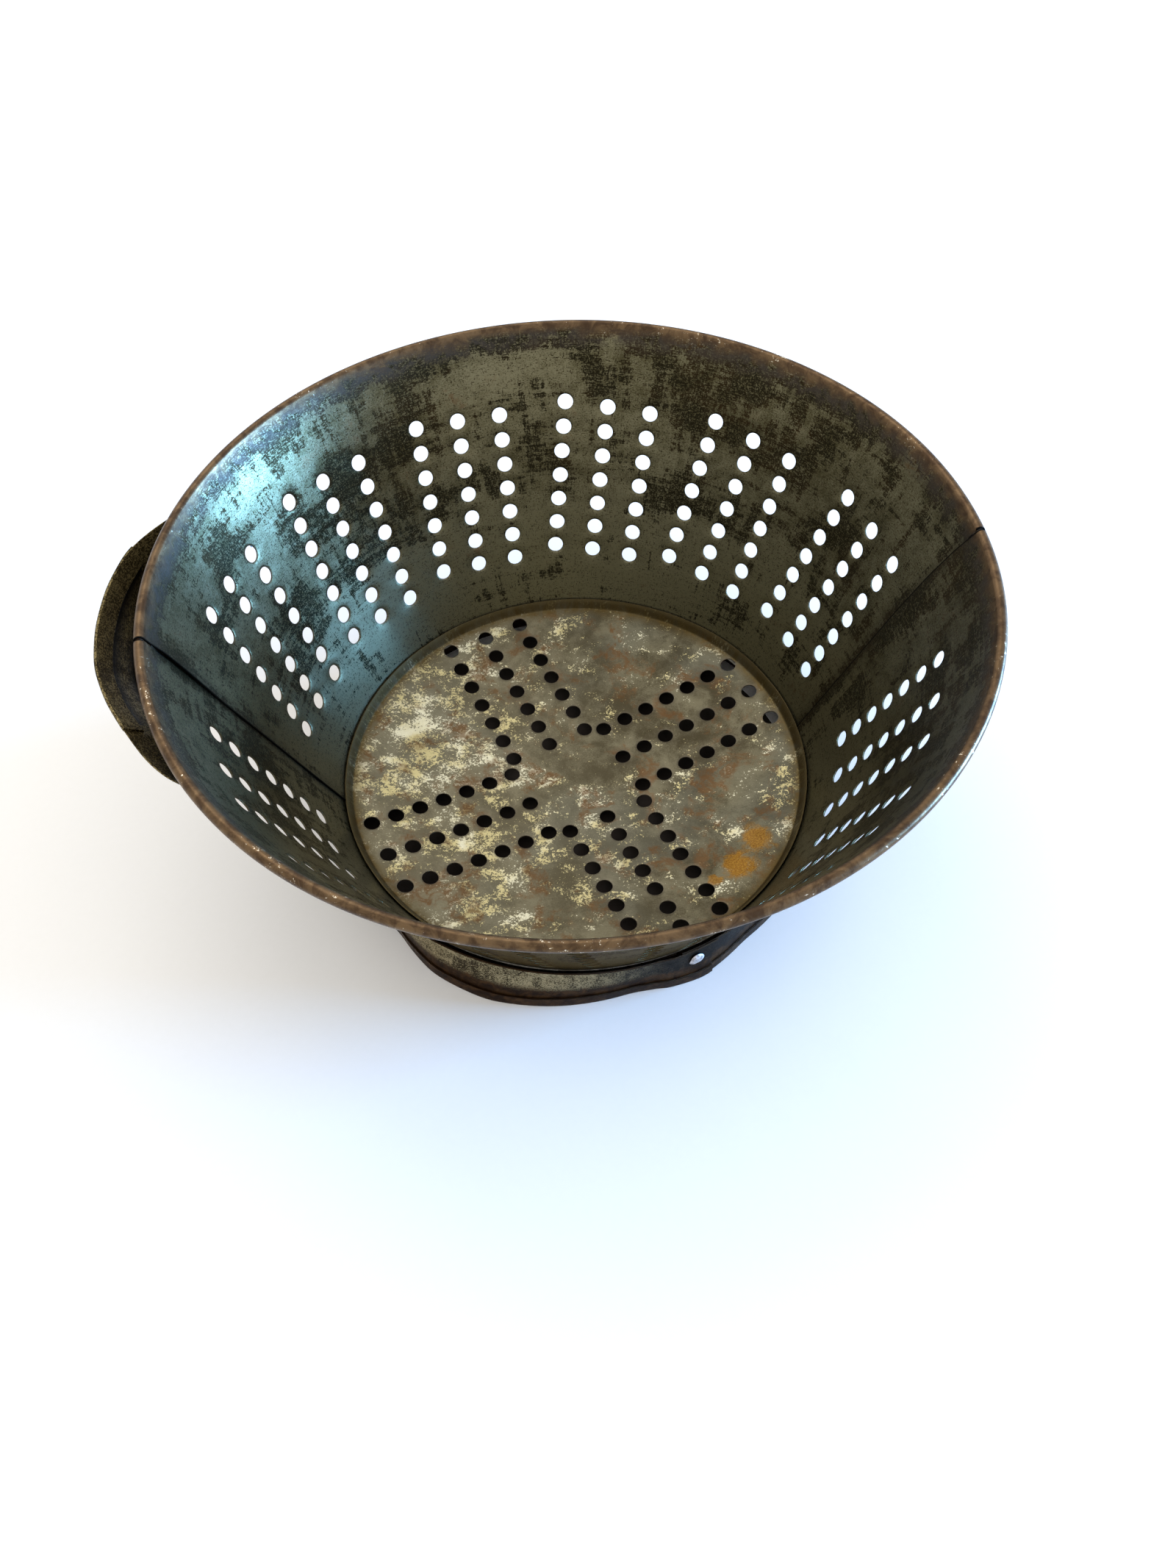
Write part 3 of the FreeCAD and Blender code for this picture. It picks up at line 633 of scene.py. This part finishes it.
STATION_STEP = 0.6  # degrees between two stations along the strap
SOLDER_ROOM = 1.5  # least room between the strap and the wall's middle surface
HANDLE_SEED = 1.0
HANDLE_LAY = 40.0  # start of the handle's texture


def handle_stations(start, end):
    """Top edge, strap direction and face direction of the handle between two directions."""
    at, *values = zip(*HANDLE_ROUTE)
    half = STATION_STEP / 2
    directions = np.arange(at[0], at[-1] + half, STATION_STEP)
    kernel = np.cos(np.linspace(-1, 1, 9) * math.pi / 2 * 0.9)
    kernel /= kernel.sum()
    padded = [np.pad(np.interp(directions, at, value), 4, mode="edge") for value in values]
    curves = [np.convolve(curve, kernel, mode="valid") for curve in padded]
    top = polar(curves[0], directions, RIM_LEVEL - HANDLE_DROP)
    ahead = np.gradient(top, axis=0)
    ahead /= np.linalg.norm(ahead, axis=1, keepdims=True)
    inward = np.cross([0.0, 0.0, 1.0], ahead)
    stations = []
    for place, point, inside, slope in zip(directions, top, inward, curves[1]):
        if start - half <= place <= end + half:
            down, face = strap_axes(inside, slope)
            while slope > 10 and not clears_wall(point + down * HANDLE_WIDTH):
                slope -= 0.5
                down, face = strap_axes(inside, slope)
            stations.append((point, down, face))
    return stations


def strap_axes(inside, slope):
    """Directions down the strap and out of its upper face."""
    lean = math.radians(slope)
    up = np.array([0.0, 0.0, 1.0])
    down = inside * math.sin(lean) - up * math.cos(lean)
    return down, inside * math.cos(lean) + up * math.sin(lean)


def clears_wall(point):
    """Whether a point stays outside the wall, with the solder's thickness between."""
    radius = math.hypot(point[0], point[1])
    return radius - wall_radius(point[2]) > SOLDER_ROOM


def strap_section(near):
    """The strap's section from its near half, given from the back's middle to the face's."""
    far = [(HANDLE_WIDTH - low, high) for low, high in near]
    return near[2::-1] + far[1:-1] + near[:2:-1]


# Near halves of the strap's sections: (down the strap, out of its face).
HEMMED_HALF = [
    (11.0, -0.25), (3.0, -0.05), (0.35, 0.0), (-0.05, 0.3), (-0.1, 0.75), (0.35, 1.12),
    (3.0, 1.08), (HANDLE_HEM - 0.25, 1.06), (HANDLE_HEM, 0.85), (HANDLE_HEM + 0.05, 0.45),
    (HANDLE_HEM + 0.9, 0.38), (11.0, 0.25),
]
PLAIN_HALF = [
    (11.0, -0.1), (6.0, -0.02), (0.5, 0.03), (0.35, 0.25), (0.5, 0.46), (6.0, 0.43), (11.0, 0.36),
]


def loft(stations, section, ends):
    """A closed strip with a section across each station, its ends cut aslant as given."""
    points, lay, groove = [], [], []
    count = len(stations)
    shape = [station[0] for station in stations]
    arcs = np.concatenate([[0], np.cumsum(np.linalg.norm(np.diff(shape, axis=0), axis=1))])
    for place, (top, down, face) in enumerate(stations):
        ahead = np.cross(face, down)
        slip = ends[0] if place == 0 else ends[1] if place == count - 1 else 0.0
        for low, high in section:
            spot = top + down * low + face * high
            waver = 0.3 * noise.noise(Vector(spot) / 14 + Vector((HANDLE_SEED, 0, 0)))
            points.append(spot + face * waver - ahead * slip * low / HANDLE_WIDTH)
            lay.append((arcs[place] + HANDLE_LAY, low, high))
            # Marks the crease beside each hem's edge on the strap's face, for painted shade.
            edge = min(abs(low - HANDLE_HEM - 0.4), abs(HANDLE_WIDTH - low - HANDLE_HEM - 0.4))
            groove.append(1.0 if edge < 0.7 and high < 0.7 else 0.0)
    size = len(section)
    faces = grid_faces(count, size, closed=True)
    faces.append(tuple(range(size)))
    faces.append(tuple(reversed(range((count - 1) * size, count * size))))
    return points, [face[::-1] for face in faces], lay, groove


def handle(material):
    """The strap handle: a hemmed grip between two single tabs that lie on the wall."""
    points, faces, lay, groove = [], [], [], []
    for start, end, half, ends in (
        (HANDLE_ROUTE[0][0], HEM_START + TAB_LAP, PLAIN_HALF, (0.0, 0.0)),
        (HEM_START, HEM_END, HEMMED_HALF, (2.5, 2.0)),
        (HEM_END - TAB_LAP, HANDLE_ROUTE[-1][0], PLAIN_HALF, (0.0, 0.0)),
    ):
        more_points, more_faces, more_lay, more_groove = loft(
            handle_stations(start, end), strap_section(half), ends)
        faces += [tuple(index + len(points) for index in face) for face in more_faces]
        points += more_points
        lay += more_lay
        groove += more_groove
    make_piece("strap_handle", "handle_strap", material, points, faces,
               {"flat": np.array(lay) * MM, "groove": groove})


# ---- solder


def wall_patch(name, node, sides, slants, base, height, seed, material):
    """A lump of solder on the outside of the wall between two sides, closed all round."""
    rows, columns = len(slants), 9
    top, bottom, lay = [], [], []
    for slant in slants:
        low, high = sides(slant)
        share_up = (slant - slants[0]) / (slants[-1] - slants[0])
        for k in range(columns):
            share = k / (columns - 1)
            direction = low + (high - low) * share
            crown = (math.sin(math.pi * share) * math.sin(math.pi * share_up)) ** 0.45
            grain = noise.noise(Vector((slant / 3, direction * 0.8, seed)))
            wander = 0.25 * noise.noise(Vector((slant / 4, k * 0.1, seed + 5)))
            offset = base + crown * height * (1 + 0.45 * grain)
            top.append(on_wall(direction + wander, slant, offset))
            bottom.append(on_wall(direction + wander, slant, base - 0.12))
            lay.append((direction * 1.9, slant, 0.0))
    faces = shell_faces(grid_faces(rows, columns), len(top))
    make_piece(name, node, material, top + bottom, faces,
               {"flat": np.array(lay + lay) * MM})


def solder_ring(name, node, outline, seed, ripple, material):
    """A ring of solder: a closed (radius, level) outline turned round the axis."""
    steps = 240
    directions = np.arange(steps) * 360 / steps
    sway = roughened(polar(85.0, directions, seed), 7.0, seed)
    grid = [polar(radius + ripple * free * sway, directions, level)
            for radius, level, free in outline]
    points = np.array(grid).reshape(-1, 3)
    faces = grid_faces(len(outline), steps, closed=True, looped=True)
    make_piece(name, node, material, points, faces, {"flat": points * MM})


def solder_pieces(material):
    """All the soldered joints."""
    seams = (
        ("left_solder_line", "left_seam_solder", left_seam, 31),
        ("right_solder_line", "right_seam_solder", right_seam, 32),
    )
    low, high = (FOOT_TOP + 1.2 - FLOOR_LEVEL) / COS, WALL_TOP - LAP_DROP - 0.4
    for name, node, seam, seed in seams:
        def sides(slant, seam=seam):
            radius = FLOOR_RADIUS + slant * SIN
            edge = seam(slant * COS) - math.degrees(LAP / radius)
            return edge - math.degrees(1.3 / radius), edge + math.degrees(0.35 / radius)
        wall_patch(name, node, sides, np.linspace(low, high, 60), 0.62, 0.42, seed, material)
    tabs = (
        ("far_handle_solder", "handle_solder_back", 144.6, 151.4, 33),
        ("near_handle_solder", "handle_solder_front", 208.6, 216.6, 34),
    )
    top = (RIM_LEVEL - HANDLE_DROP - FLOOR_LEVEL) / COS
    for name, node, start, end, seed in tabs:
        wall_patch(name, node, lambda slant, a=start, b=end: (a, b),
                   np.linspace(top - HANDLE_WIDTH - 1.0, top - 0.6, 24), 0.6, 0.85, seed, material)
    under = FLOOR_LEVEL - SHEET / 2 - 0.02
    inner = wall_radius(under) + 0.02
    outline = [(inner - 2.3, under, 1.0), (inner - 1.2, under - 0.55, 0.7),
               (inner - 0.55, under - 1.4, 0.0), (inner - 0.3, under, 0.0)]
    solder_ring("floor_fillet", "floor_solder", outline, 35, 0.35, material)
    low, high = COLLAR_START + 0.6, FOOT_TOP - 2.2
    outline = [(wall_radius(low) + 0.62, low, 0.0), (wall_radius(low) + 0.98, low, 0.0),
               (wall_radius(high) + 0.98, high, 0.0), (wall_radius(high) + 0.62, high + 0.2, 0.0)]
    solder_ring("collar_film", "foot_solder", outline, 36, 0.0, material)


# ---- materials

# Linear colours, alone or as a dark and a pale one.
TIN, TIN_OUTSIDE = ((0.072, 0.063, 0.03), (0.195, 0.182, 0.112)), (0.07, 0.056, 0.03)
GLOSS_OUTSIDE, GLOSS_INSIDE = (0.45, 0.37, 0.24), (1, 1, 1)
PATINA = (0.015, 0.012, 0.004), (0.03, 0.018, 0.005)
# The third colour here is a dark brown painted as shade beside the seams and round the holes.
RUST, MAUVE, SEAM_AND_HOLE_SHADE = (0.1, 0.048, 0.017), (0.07, 0.058, 0.048), (0.022, 0.017, 0.009)
COPPER, RUBBED = ((0.06, 0.036, 0.02), (0.15, 0.096, 0.05)), (0.7, 0.62, 0.48)
# Near black, painted along each seam as the shadow in its gap.
SLIT_SHADOW = (0.004, 0.003, 0.002)
FLOOR_TIN, CLOUDED = ((0.065, 0.053, 0.027), (0.15, 0.135, 0.085)), (0.13, 0.13, 0.1)
# The first colour here is a pale tin painted as light on the floor's left side.
PAINTED_LIGHT, FLAKES = (0.27, 0.245, 0.165), ((0.6, 0.53, 0.28), (0.68, 0.66, 0.5))
STAIN, OCHRE_SPOT = (0.12, 0.058, 0.018), ((0.2, 0.08, 0.006), (0.32, 0.17, 0.02))
OCHRE, BRIM, HOLE_EDGE = (0.085, 0.056, 0.014), (0.18, 0.14, 0.065), (0.15, 0.13, 0.1)
FOOT_SPECKLED = (0.022, 0.014, 0.004), (0.33, 0.27, 0.15)
FOOT_TARNISHED = (0.004, 0.003, 0.002), (0.027, 0.02, 0.012)
FOOT_BROWN = (0.014, 0.005, 0.001), (0.06, 0.027, 0.007)
# The second colour here is near black, painted as shade in the hems' creases.
HANDLE_TIN, GROOVE_SHADE = ((0.022, 0.014, 0.003), (0.24, 0.19, 0.085)), (0.008, 0.006, 0.004)
SOLDER, SOLDER_BROWN = ((0.1, 0.095, 0.08), (0.28, 0.275, 0.25)), (0.07, 0.05, 0.03)
RIVET = (0.3, 0.27, 0.26), (0.62, 0.58, 0.57)
WIRE = (0.11, 0.1, 0.09), (0.12, 0.05, 0.02)
PALE_STAGE = (0.93, 0.93, 0.92), (0.95, 0.95, 0.945)
# Near black, for a disc of painted shadow under the bowl.
STAGE_SHADOW = (0.012, 0.008, 0.006), (0.03, 0.02, 0.014)

# Round rust spots on the floor: (x, y, radius) in metres and how strong they are.
RUST_SPOTS = [
    (0.0603, -0.0391, 0.0066, 0.85), (0.0513, -0.0494, 0.0064, 0.95),
    (0.0422, -0.055, 0.0026, 0.8),
]
SPOT_RAGGED = 0.012

SIDE_SHIFT = 0.31  # parts the textures of a sheet's two sides
PIT_STRETCH, PIT_SCALE = 3.0, 600.0
GRAIN_RANGE = 0.75, 0.81
WEAR_RANGE = 0.87, 1.1
TONE_RANGE = 0.6, 0.85
MID_RANGE = 0.3, 0.7


class Material:
    """A material whose Principled shader is fed by nodes that short calls add."""

    def __init__(self, name, **inputs):
        self.material = bpy.data.materials.new(name)
        self.material.use_nodes = True
        self.tree = self.material.node_tree
        self.principled = self.tree.nodes["Principled BSDF"]
        for label, value in inputs.items():
            self.principled.inputs[label.replace("_", " ")].default_value = value

    def node(self, kind, inputs, **settings):
        item = self.tree.nodes.new("ShaderNode" + kind)
        for label, value in settings.items():
            setattr(item, label, value)
        for label, value in inputs.items():
            if isinstance(value, bpy.types.NodeSocket):
                self.tree.links.new(value, item.inputs[label])
            else:
                item.inputs[label].default_value = value
        return item

    def attribute(self, label):
        return self.node("Attribute", {}, attribute_name=label).outputs["Fac"]

    def attributes(self, *labels):
        return [self.attribute(label) for label in labels]

    def lay(self):
        """The flat coordinates that a piece carries, in metres."""
        return self.node("Attribute", {}, attribute_name="flat").outputs["Vector"]

    def place(self):
        """The object's own coordinates."""
        return self.node("TexCoord", {}).outputs["Object"]

    def axis(self, vector, index):
        """One socket of a vector: 0 for X, 1 for Y, 2 for Z."""
        return self.node("SeparateXYZ", {0: vector}).outputs[index]

    def stretched(self, vector, scale):
        return self.node("VectorMath", {0: vector, 1: scale},
                         operation="MULTIPLY").outputs[0]

    def noise(self, vector, scale, detail=3.0, rough=0.55, twist=0.0):
        return self.node("TexNoise", {
            "Vector": vector, "Scale": scale, "Detail": detail, "Roughness": rough,
            "Distortion": twist}).outputs["Fac"]

    def math(self, operation, first, second):
        return self.node("Math", {0: first, 1: second}, operation=operation).outputs[0]

    def times(self, first, second):
        return self.math("MULTIPLY", first, second)

    def most(self, first, second):
        return self.math("MAXIMUM", first, second)

    def total(self, *terms):
        """A sum of (socket, weight) pairs."""
        result = None
        for socket, weight in terms:
            scaled = self.times(socket, weight)
            result = scaled if result is None else self.math("ADD", result, scaled)
        return result

    def rise(self, value, low, high, bottom=0.0, top=1.0):
        """A smooth step from bottom to top as the value goes from low to high."""
        return self.node("MapRange", {
            "Value": value, "From Min": low, "From Max": high, "To Min": bottom,
            "To Max": top}, interpolation_type="SMOOTHSTEP").outputs[0]

    def blend(self, share, first, second):
        """From the first colour to the second by a share; each is a socket or three numbers."""
        first, second = ((*tint, 1.0) if isinstance(tint, tuple) else tint
                         for tint in (first, second))
        return self.node("Mix", {0: share, 6: first, 7: second},
                         data_type="RGBA").outputs[2]

    def tones(self, value, low, high, pair):
        """From a pair's first colour to its second as the value goes from low to high."""
        return self.blend(self.rise(value, low, high), *pair)

    def finish(self, base, roughness, bumps, metallic=None):
        """The material, with (height, distance) bumps laid over each other."""
        linked = {"Base Color": base, "Roughness": roughness}
        if metallic is not None:
            linked["Metallic"] = metallic
        for height, distance in bumps:
            inputs = {"Height": height, "Distance": distance, "Strength": 1.0}
            if "Normal" in linked:
                inputs["Normal"] = linked["Normal"]
            linked["Normal"] = self.node("Bump", inputs).outputs["Normal"]
        for label, socket in linked.items():
            self.tree.links.new(socket, self.principled.inputs[label])
        return self.material


def tin_texture(mat):
    """The coordinates and shared noises of worn tinplate."""
    lay, side = mat.lay(), mat.attribute("side")
    shift = mat.node("CombineXYZ", {"Z": mat.times(side, SIDE_SHIFT)})
    place = mat.node("VectorMath", {0: lay, 1: shift.outputs[0]}).outputs[0]
    flat_pits, tall_pits = (
        mat.noise(mat.stretched(place, scale), PIT_SCALE, 4.0, 0.74)
        for scale in ((1.0, PIT_STRETCH, 1.0), (PIT_STRETCH, 1.0, 1.0)))
    return SimpleNamespace(
        place=place,
        broad=mat.noise(place, 17.0, 2.0),
        cloud=mat.noise(place, 48.0, 5.0, 0.6, 0.3),
        patch=mat.noise(place, 210.0, 5.0, 0.66, 0.6),
        speck=mat.noise(place, 1050.0, 3.0, 0.7),
        dust=mat.noise(mat.stretched(place, (1.0, 1.5, 1.0)), 1500.0, 3.0, 0.8),
        pits=mat.math("MINIMUM", flat_pits, tall_pits),
        level_lines=mat.noise(mat.stretched(place, (1.0, 15.0, 1.0)), 32.0, 5.0, 0.72),
        upright_lines=mat.noise(mat.stretched(place, (9.0, 1.0, 1.0)), 30.0, 5.0, 0.7))


def bead_color(mat, t):
    """The rolled bead: coppery brown, with bright rubbed specks."""
    copper = mat.tones(t.patch, 0.35, 0.65, COPPER)
    rubbed = mat.total((t.speck, 1.0), (t.patch, 0.4), (t.cloud, 0.4))
    return mat.blend(mat.rise(rubbed, 1.09, 1.15), copper, RUBBED)


def wall_material():
    """Aged tin of the bowl: pale worn metal, thick with dark pits, and patches of patina."""
    mat = Material("aged_tin", Specular_IOR_Level=0.3)
    t = tin_texture(mat)
    bead, under, edge, seam, side = mat.attributes("bead", "under", "edge", "seam", "side")
    # Masks by the seams: painted shade within 6 mm of one, and a painted shadow of its gap within
    # 0.7 mm.
    seam_shade, slit_shadow = mat.rise(seam, 6.0, 0.0), mat.rise(seam, 0.7, 0.3)
    low = mat.rise(mat.axis(mat.lay(), 1), 0.06, 0.02)
    cover = mat.total(
        (t.cloud, 1.0), (t.level_lines, 0.5), (t.upright_lines, 0.8), (t.broad, 0.5),
        (t.patch, 0.25), (under, -0.2), (seam_shade, -0.12), (low, 0.08))
    cover = mat.rise(cover, 1.46, 1.53)
    grain = mat.total((t.pits, 1.0), (t.dust, 0.4), (cover, 0.11),
                         (t.level_lines, 0.15))
    tone = mat.total((t.patch, 0.6), (t.cloud, 0.6), (t.broad, 0.6), (t.dust, 0.9),
                        (low, 0.38))
    metal = mat.blend(side, TIN_OUTSIDE, mat.tones(tone, 1.15, 1.6, TIN))
    patina = mat.tones(t.cloud, 0.4, 0.62, PATINA)
    base = mat.blend(mat.rise(grain, *GRAIN_RANGE), patina, metal)
    rust = mat.times(mat.rise(t.cloud, 0.6, 0.7), mat.rise(t.patch, 0.5, 0.62))
    base = mat.blend(mat.times(rust, 0.5), base, RUST)
    band = mat.times(under, mat.rise(t.patch, 0.64, 0.42))
    base = mat.blend(mat.times(band, 0.7), base, MAUVE)
    # Painted shade: the wall turns dark brown within 6 mm of a seam and at the rims of its holes.
    base = mat.blend(mat.most(mat.times(seam_shade, 0.45), mat.times(edge, 0.4)), base, SEAM_AND_HOLE_SHADE)
    base = mat.blend(bead, base, bead_color(mat, t))
    # Painted shadow: a near-black line within 0.7 mm of each seam, on the panels and across the
    # rolled bead.
    base = mat.blend(slit_shadow, base, SLIT_SHADOW)
    rough = mat.math("MINIMUM", mat.rise(grain, *GRAIN_RANGE, 0.46, 0.31),
                        mat.rise(bead, 0.2, 1.0, 0.6, 0.34))
    rough = mat.most(rough, mat.times(slit_shadow, 0.8))
    mat.tree.links.new(mat.blend(side, GLOSS_OUTSIDE, GLOSS_INSIDE),
                          mat.principled.inputs["Specular Tint"])
    bumps = [(t.cloud, 0.00012), (t.level_lines, 0.00004), (t.pits, 0.00006)]
    return mat.finish(base, rough, bumps, mat.rise(grain, *GRAIN_RANGE, 0.82, 0.93))


def rust_spots(mat, t):
    """A mask of the few round rust spots on the floor, with uneven edges."""
    mask = None
    ragged = mat.times(mat.math("SUBTRACT", t.patch, 0.5), SPOT_RAGGED)
    for x, y, radius, strength in RUST_SPOTS:
        away = mat.node("VectorMath", {0: mat.lay(), 1: (x, y, 0.0)},
                           operation="DISTANCE").outputs["Value"]
        spot = mat.rise(mat.math("ADD", away, ragged), radius * 1.15, radius * 0.5)
        spot = mat.times(spot, strength)
        mask = spot if mask is None else mat.most(mask, spot)
    return mask


def floor_material():
    """The floor's tin: softly clouded, with cream flakes, rust blotches, an ochre edge, and
    painted light towards its left.
    """
    mat = Material("frosted_tin", Metallic=0.8)
    t = tin_texture(mat)
    edge, corner, brim = mat.attributes("edge", "corner", "brim")
    tone = mat.total((t.cloud, 0.8), (t.patch, 0.3), (t.dust, 0.35))
    base = mat.tones(tone, *TONE_RANGE, FLOOR_TIN)
    base = mat.blend(mat.rise(t.broad, 0.48, 0.62, 0.0, 0.5), base, CLOUDED)
    # Painted light: this mask makes the floor paler, and adds cream flakes, towards its left
    # (negative X).
    worn = mat.rise(mat.axis(mat.lay(), 0), 0.04, -0.055)
    base = mat.blend(mat.times(worn, 0.35), base, PAINTED_LIGHT)
    streaks = mat.noise(mat.stretched(t.place, (1.0, 1.45, 1.0)), 75.0, 6.0, 0.72, 0.4)
    flake = mat.total((t.dust, 0.5), (t.speck, 0.7), (streaks, 1.2), (t.patch, 0.45),
                         (t.broad, 0.4), (worn, 0.12))
    base = mat.blend(mat.rise(flake, 1.79, 1.84), base,
                        mat.tones(t.cloud, 0.45, 0.6, FLAKES))
    stain = mat.noise(t.place, 58.0, 5.0, 0.65, 0.4)
    rust = mat.times(mat.rise(stain, 0.51, 0.61), mat.rise(t.patch, 0.36, 0.58))
    base = mat.blend(mat.times(rust, 0.8), base, STAIN)
    base = mat.blend(rust_spots(mat, t), base,
                        mat.tones(t.dust, 0.4, 0.6, OCHRE_SPOT))
    ochre = mat.times(corner, mat.rise(t.patch, 0.3, 0.6, 0.4, 0.9))
    base = mat.blend(ochre, base, OCHRE)
    base = mat.blend(mat.times(brim, 0.6), base, BRIM)
    base = mat.blend(mat.times(edge, 0.5), base, HOLE_EDGE)
    return mat.finish(base, mat.rise(tone, *TONE_RANGE, 0.52, 0.42),
                         [(t.cloud, 0.0004), (t.speck, 0.00007)])


def foot_material():
    """The foot band: speckled olive-grey, with a rust-brown hem, and its collar painted the same
    dark brown as shade.
    """
    mat = Material("foot_tin", Metallic=0.8, Specular_IOR_Level=0.25)
    t = tin_texture(mat)
    hem, collar, left = mat.attributes("hem", "collar", "left")
    wear = mat.total((t.dust, 1.3), (t.patch, 0.7), (t.cloud, 0.4))
    base = mat.blend(left, mat.tones(wear, 1.15, 1.5, FOOT_TARNISHED),
                        mat.tones(wear, 1.06, 1.3, FOOT_SPECKLED))
    low = mat.rise(mat.axis(mat.lay(), 1), 0.0145, 0.004)
    # Painted shade: the down-facing collar gets the dark brown of the rusty hem and the band's
    # bottom.
    reach = mat.most(mat.most(hem, mat.times(collar, 0.85)), low)
    reach = mat.rise(mat.total((reach, 1.0), (t.patch, 0.7)), 0.65, 1.1)
    base = mat.blend(reach, base, mat.tones(t.patch, 0.4, 0.7, FOOT_BROWN))
    return mat.finish(base, mat.rise(wear, 1.1, 1.5, 0.55, 0.42),
                         [(t.cloud, 0.0003), (t.speck, 0.00008)])


def handle_material():
    """The handle: a dark, mottled olive-brown patina with thin worn places."""
    mat = Material("dark_tin", Metallic=0.8, Specular_IOR_Level=0.25)
    t = tin_texture(mat)
    wear = mat.total((t.dust, 1.2), (t.patch, 0.35), (t.cloud, 0.35))
    base = mat.tones(wear, *WEAR_RANGE, HANDLE_TIN)
    # Painted shade: a near-black line in the crease beside each hem's edge.
    base = mat.blend(mat.attribute("groove"), base, GROOVE_SHADE)
    return mat.finish(base, mat.rise(wear, *WEAR_RANGE, 0.6, 0.42),
                         [(t.patch, 0.00015), (t.speck, 0.00008)])


def solder_material():
    """Dull grey solder, pitted and partly brown."""
    mat = Material("old_solder", Metallic=0.75)
    t = tin_texture(mat)
    base = mat.tones(t.patch, 0.4, 0.65, SOLDER)
    base = mat.blend(mat.rise(t.cloud, 0.55, 0.7), base, SOLDER_BROWN)
    return mat.finish(base, mat.rise(t.speck, *MID_RANGE, 0.42, 0.62),
                         [(t.patch, 0.0002), (t.speck, 0.00006)])


def rivet_material():
    """The rivet's bright head, finely scratched."""
    mat = Material("bright_tin", Metallic=0.75)
    speck = tin_texture(mat).speck
    return mat.finish(mat.tones(speck, 0.35, 0.6, RIVET),
                         mat.rise(speck, *MID_RANGE, 0.35, 0.55), [(speck, 0.00008)])


def wire_material():
    """Rusty drawn wire."""
    mat = Material("rusty_wire", Metallic=0.7)
    place = mat.place()
    patch, speck = mat.noise(place, 220.0, 5.0), mat.noise(place, 1300.0, 3.0)
    return mat.finish(mat.tones(patch, 0.4, 0.65, WIRE),
                         mat.rise(speck, *MID_RANGE, 0.4, 0.6), [(speck, 0.00005)])


def stage_material(name, scale, detail, pair, rough):
    """A plain, finely grained surface of the stage."""
    mat = Material(name)
    grain = mat.noise(mat.place(), scale, detail)
    return mat.finish(mat.blend(grain, *pair), mat.rise(grain, *MID_RANGE, *rough),
                         [(grain, 0.00002)])


# ---- camera and light

CAMERA_PLACE = (-0.03314, -0.29085, 0.39912)
CAMERA_TURN = (36.609, 0.676, -8.264)
CAMERA_LENS, CAMERA_SENSOR, CAMERA_NEAR = 29.77, 36.0, 0.01
SURROUND_TINT, SURROUND_STRENGTH = (1.0, 0.975, 0.94, 1.0), 1.05

# Soft boxes: name, place, the point it faces, size, power and colour.
SOFT_BOXES = [
    ("overhead", (-0.25, 0.75, 1.3), (0, 0, 0.05), (0.9, 0.8), 4.0, (1.0, 0.96, 0.9)),
    ("window", (3.0, -0.05, 0.38), (0, 0, 0.1), (1.5, 0.7), 400.0, (0.2, 0.5, 1.0)),
]


def set_camera():
    """The camera, a little left of the front and well above the rim."""
    data = bpy.data.cameras.new("camera")
    data.lens, data.sensor_width, data.clip_start = CAMERA_LENS, CAMERA_SENSOR, CAMERA_NEAR
    camera = in_scene("camera", data)
    camera.location = CAMERA_PLACE
    camera.rotation_euler = Euler([math.radians(turn) for turn in CAMERA_TURN], "XYZ")
    bpy.context.scene.camera = camera


def soft_light(name, place, aim, size, power, tint):
    """A rectangular soft box that faces a point."""
    data = bpy.data.lights.new(name, "AREA")
    data.shape = "RECTANGLE"
    data.size, data.size_y = size
    data.energy = power
    data.color = tint
    light = in_scene(name, data)
    light.location = place
    light.rotation_euler = (Vector(aim) - Vector(place)).to_track_quat("-Z", "Y").to_euler()


def set_light():
    """Soft studio light: an even surround, an overhead box and a cool one at the right."""
    world = bpy.data.worlds.new("surround")
    bpy.context.scene.world = world
    world.use_nodes = True
    background = world.node_tree.nodes["Background"]
    background.inputs["Color"].default_value = SURROUND_TINT
    background.inputs["Strength"].default_value = SURROUND_STRENGTH
    for box in SOFT_BOXES:
        soft_light(*box)
    bpy.context.scene.view_settings.view_transform = "Standard"


STAGE_REACH = 4.0
SHADE_RADIUS, SHADE_LEVEL = 0.084, 0.0001


def stage_piece(name, corners, material):
    """One flat face of the stage, from corners in metres."""
    mesh = bpy.data.meshes.new(name)
    mesh.from_pydata(corners, [], [tuple(range(len(corners)))])
    mesh.materials.append(material)
    in_scene(name, mesh)


def set_stage():
    """A plain pale floor, level with the foot, and a disc of painted shadow where only the foot's
    inside sees it.
    """
    reach = STAGE_REACH
    corners = [(-reach, -reach, 0), (reach, -reach, 0), (reach, reach, 0), (-reach, reach, 0)]
    stage_piece("pale_floor", corners,
                stage_material("pale_floor", 400.0, 2.0, PALE_STAGE, (0.85, 0.95)))
    # Painted shadow: a dark disc just above the floor, inside the foot.
    rim = polar(SHADE_RADIUS, np.arange(0, 360, 5), SHADE_LEVEL)
    stage_piece("painted_shadow_disc", rim.tolist(),
                stage_material("painted_shadow_disc", 300.0, 3.0, STAGE_SHADOW, (0.8, 0.9)))


# ---- the object


def build():
    """Every visible piece."""
    tin = wall_material()
    wall_panel("back_wall", "back_wall_panel", 90.0, BACK_GROUPS, right_seam, left_seam,
               0.9, 1, tin)
    wall_panel("front_wall", "front_wall_panel", 270.0, FRONT_GROUPS, left_seam,
               lambda level: right_seam(level) + 360, 0.1, 4, tin)
    floor_disc(floor_material())
    foot_band(foot_material())
    foot_rivet(rivet_material())
    handle(handle_material())
    solder_pieces(solder_material())
    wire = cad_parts["rim_wire"]
    wire.data.materials.clear()
    wire.data.materials.append(wire_material())


build()
set_stage()
set_light()
set_camera()
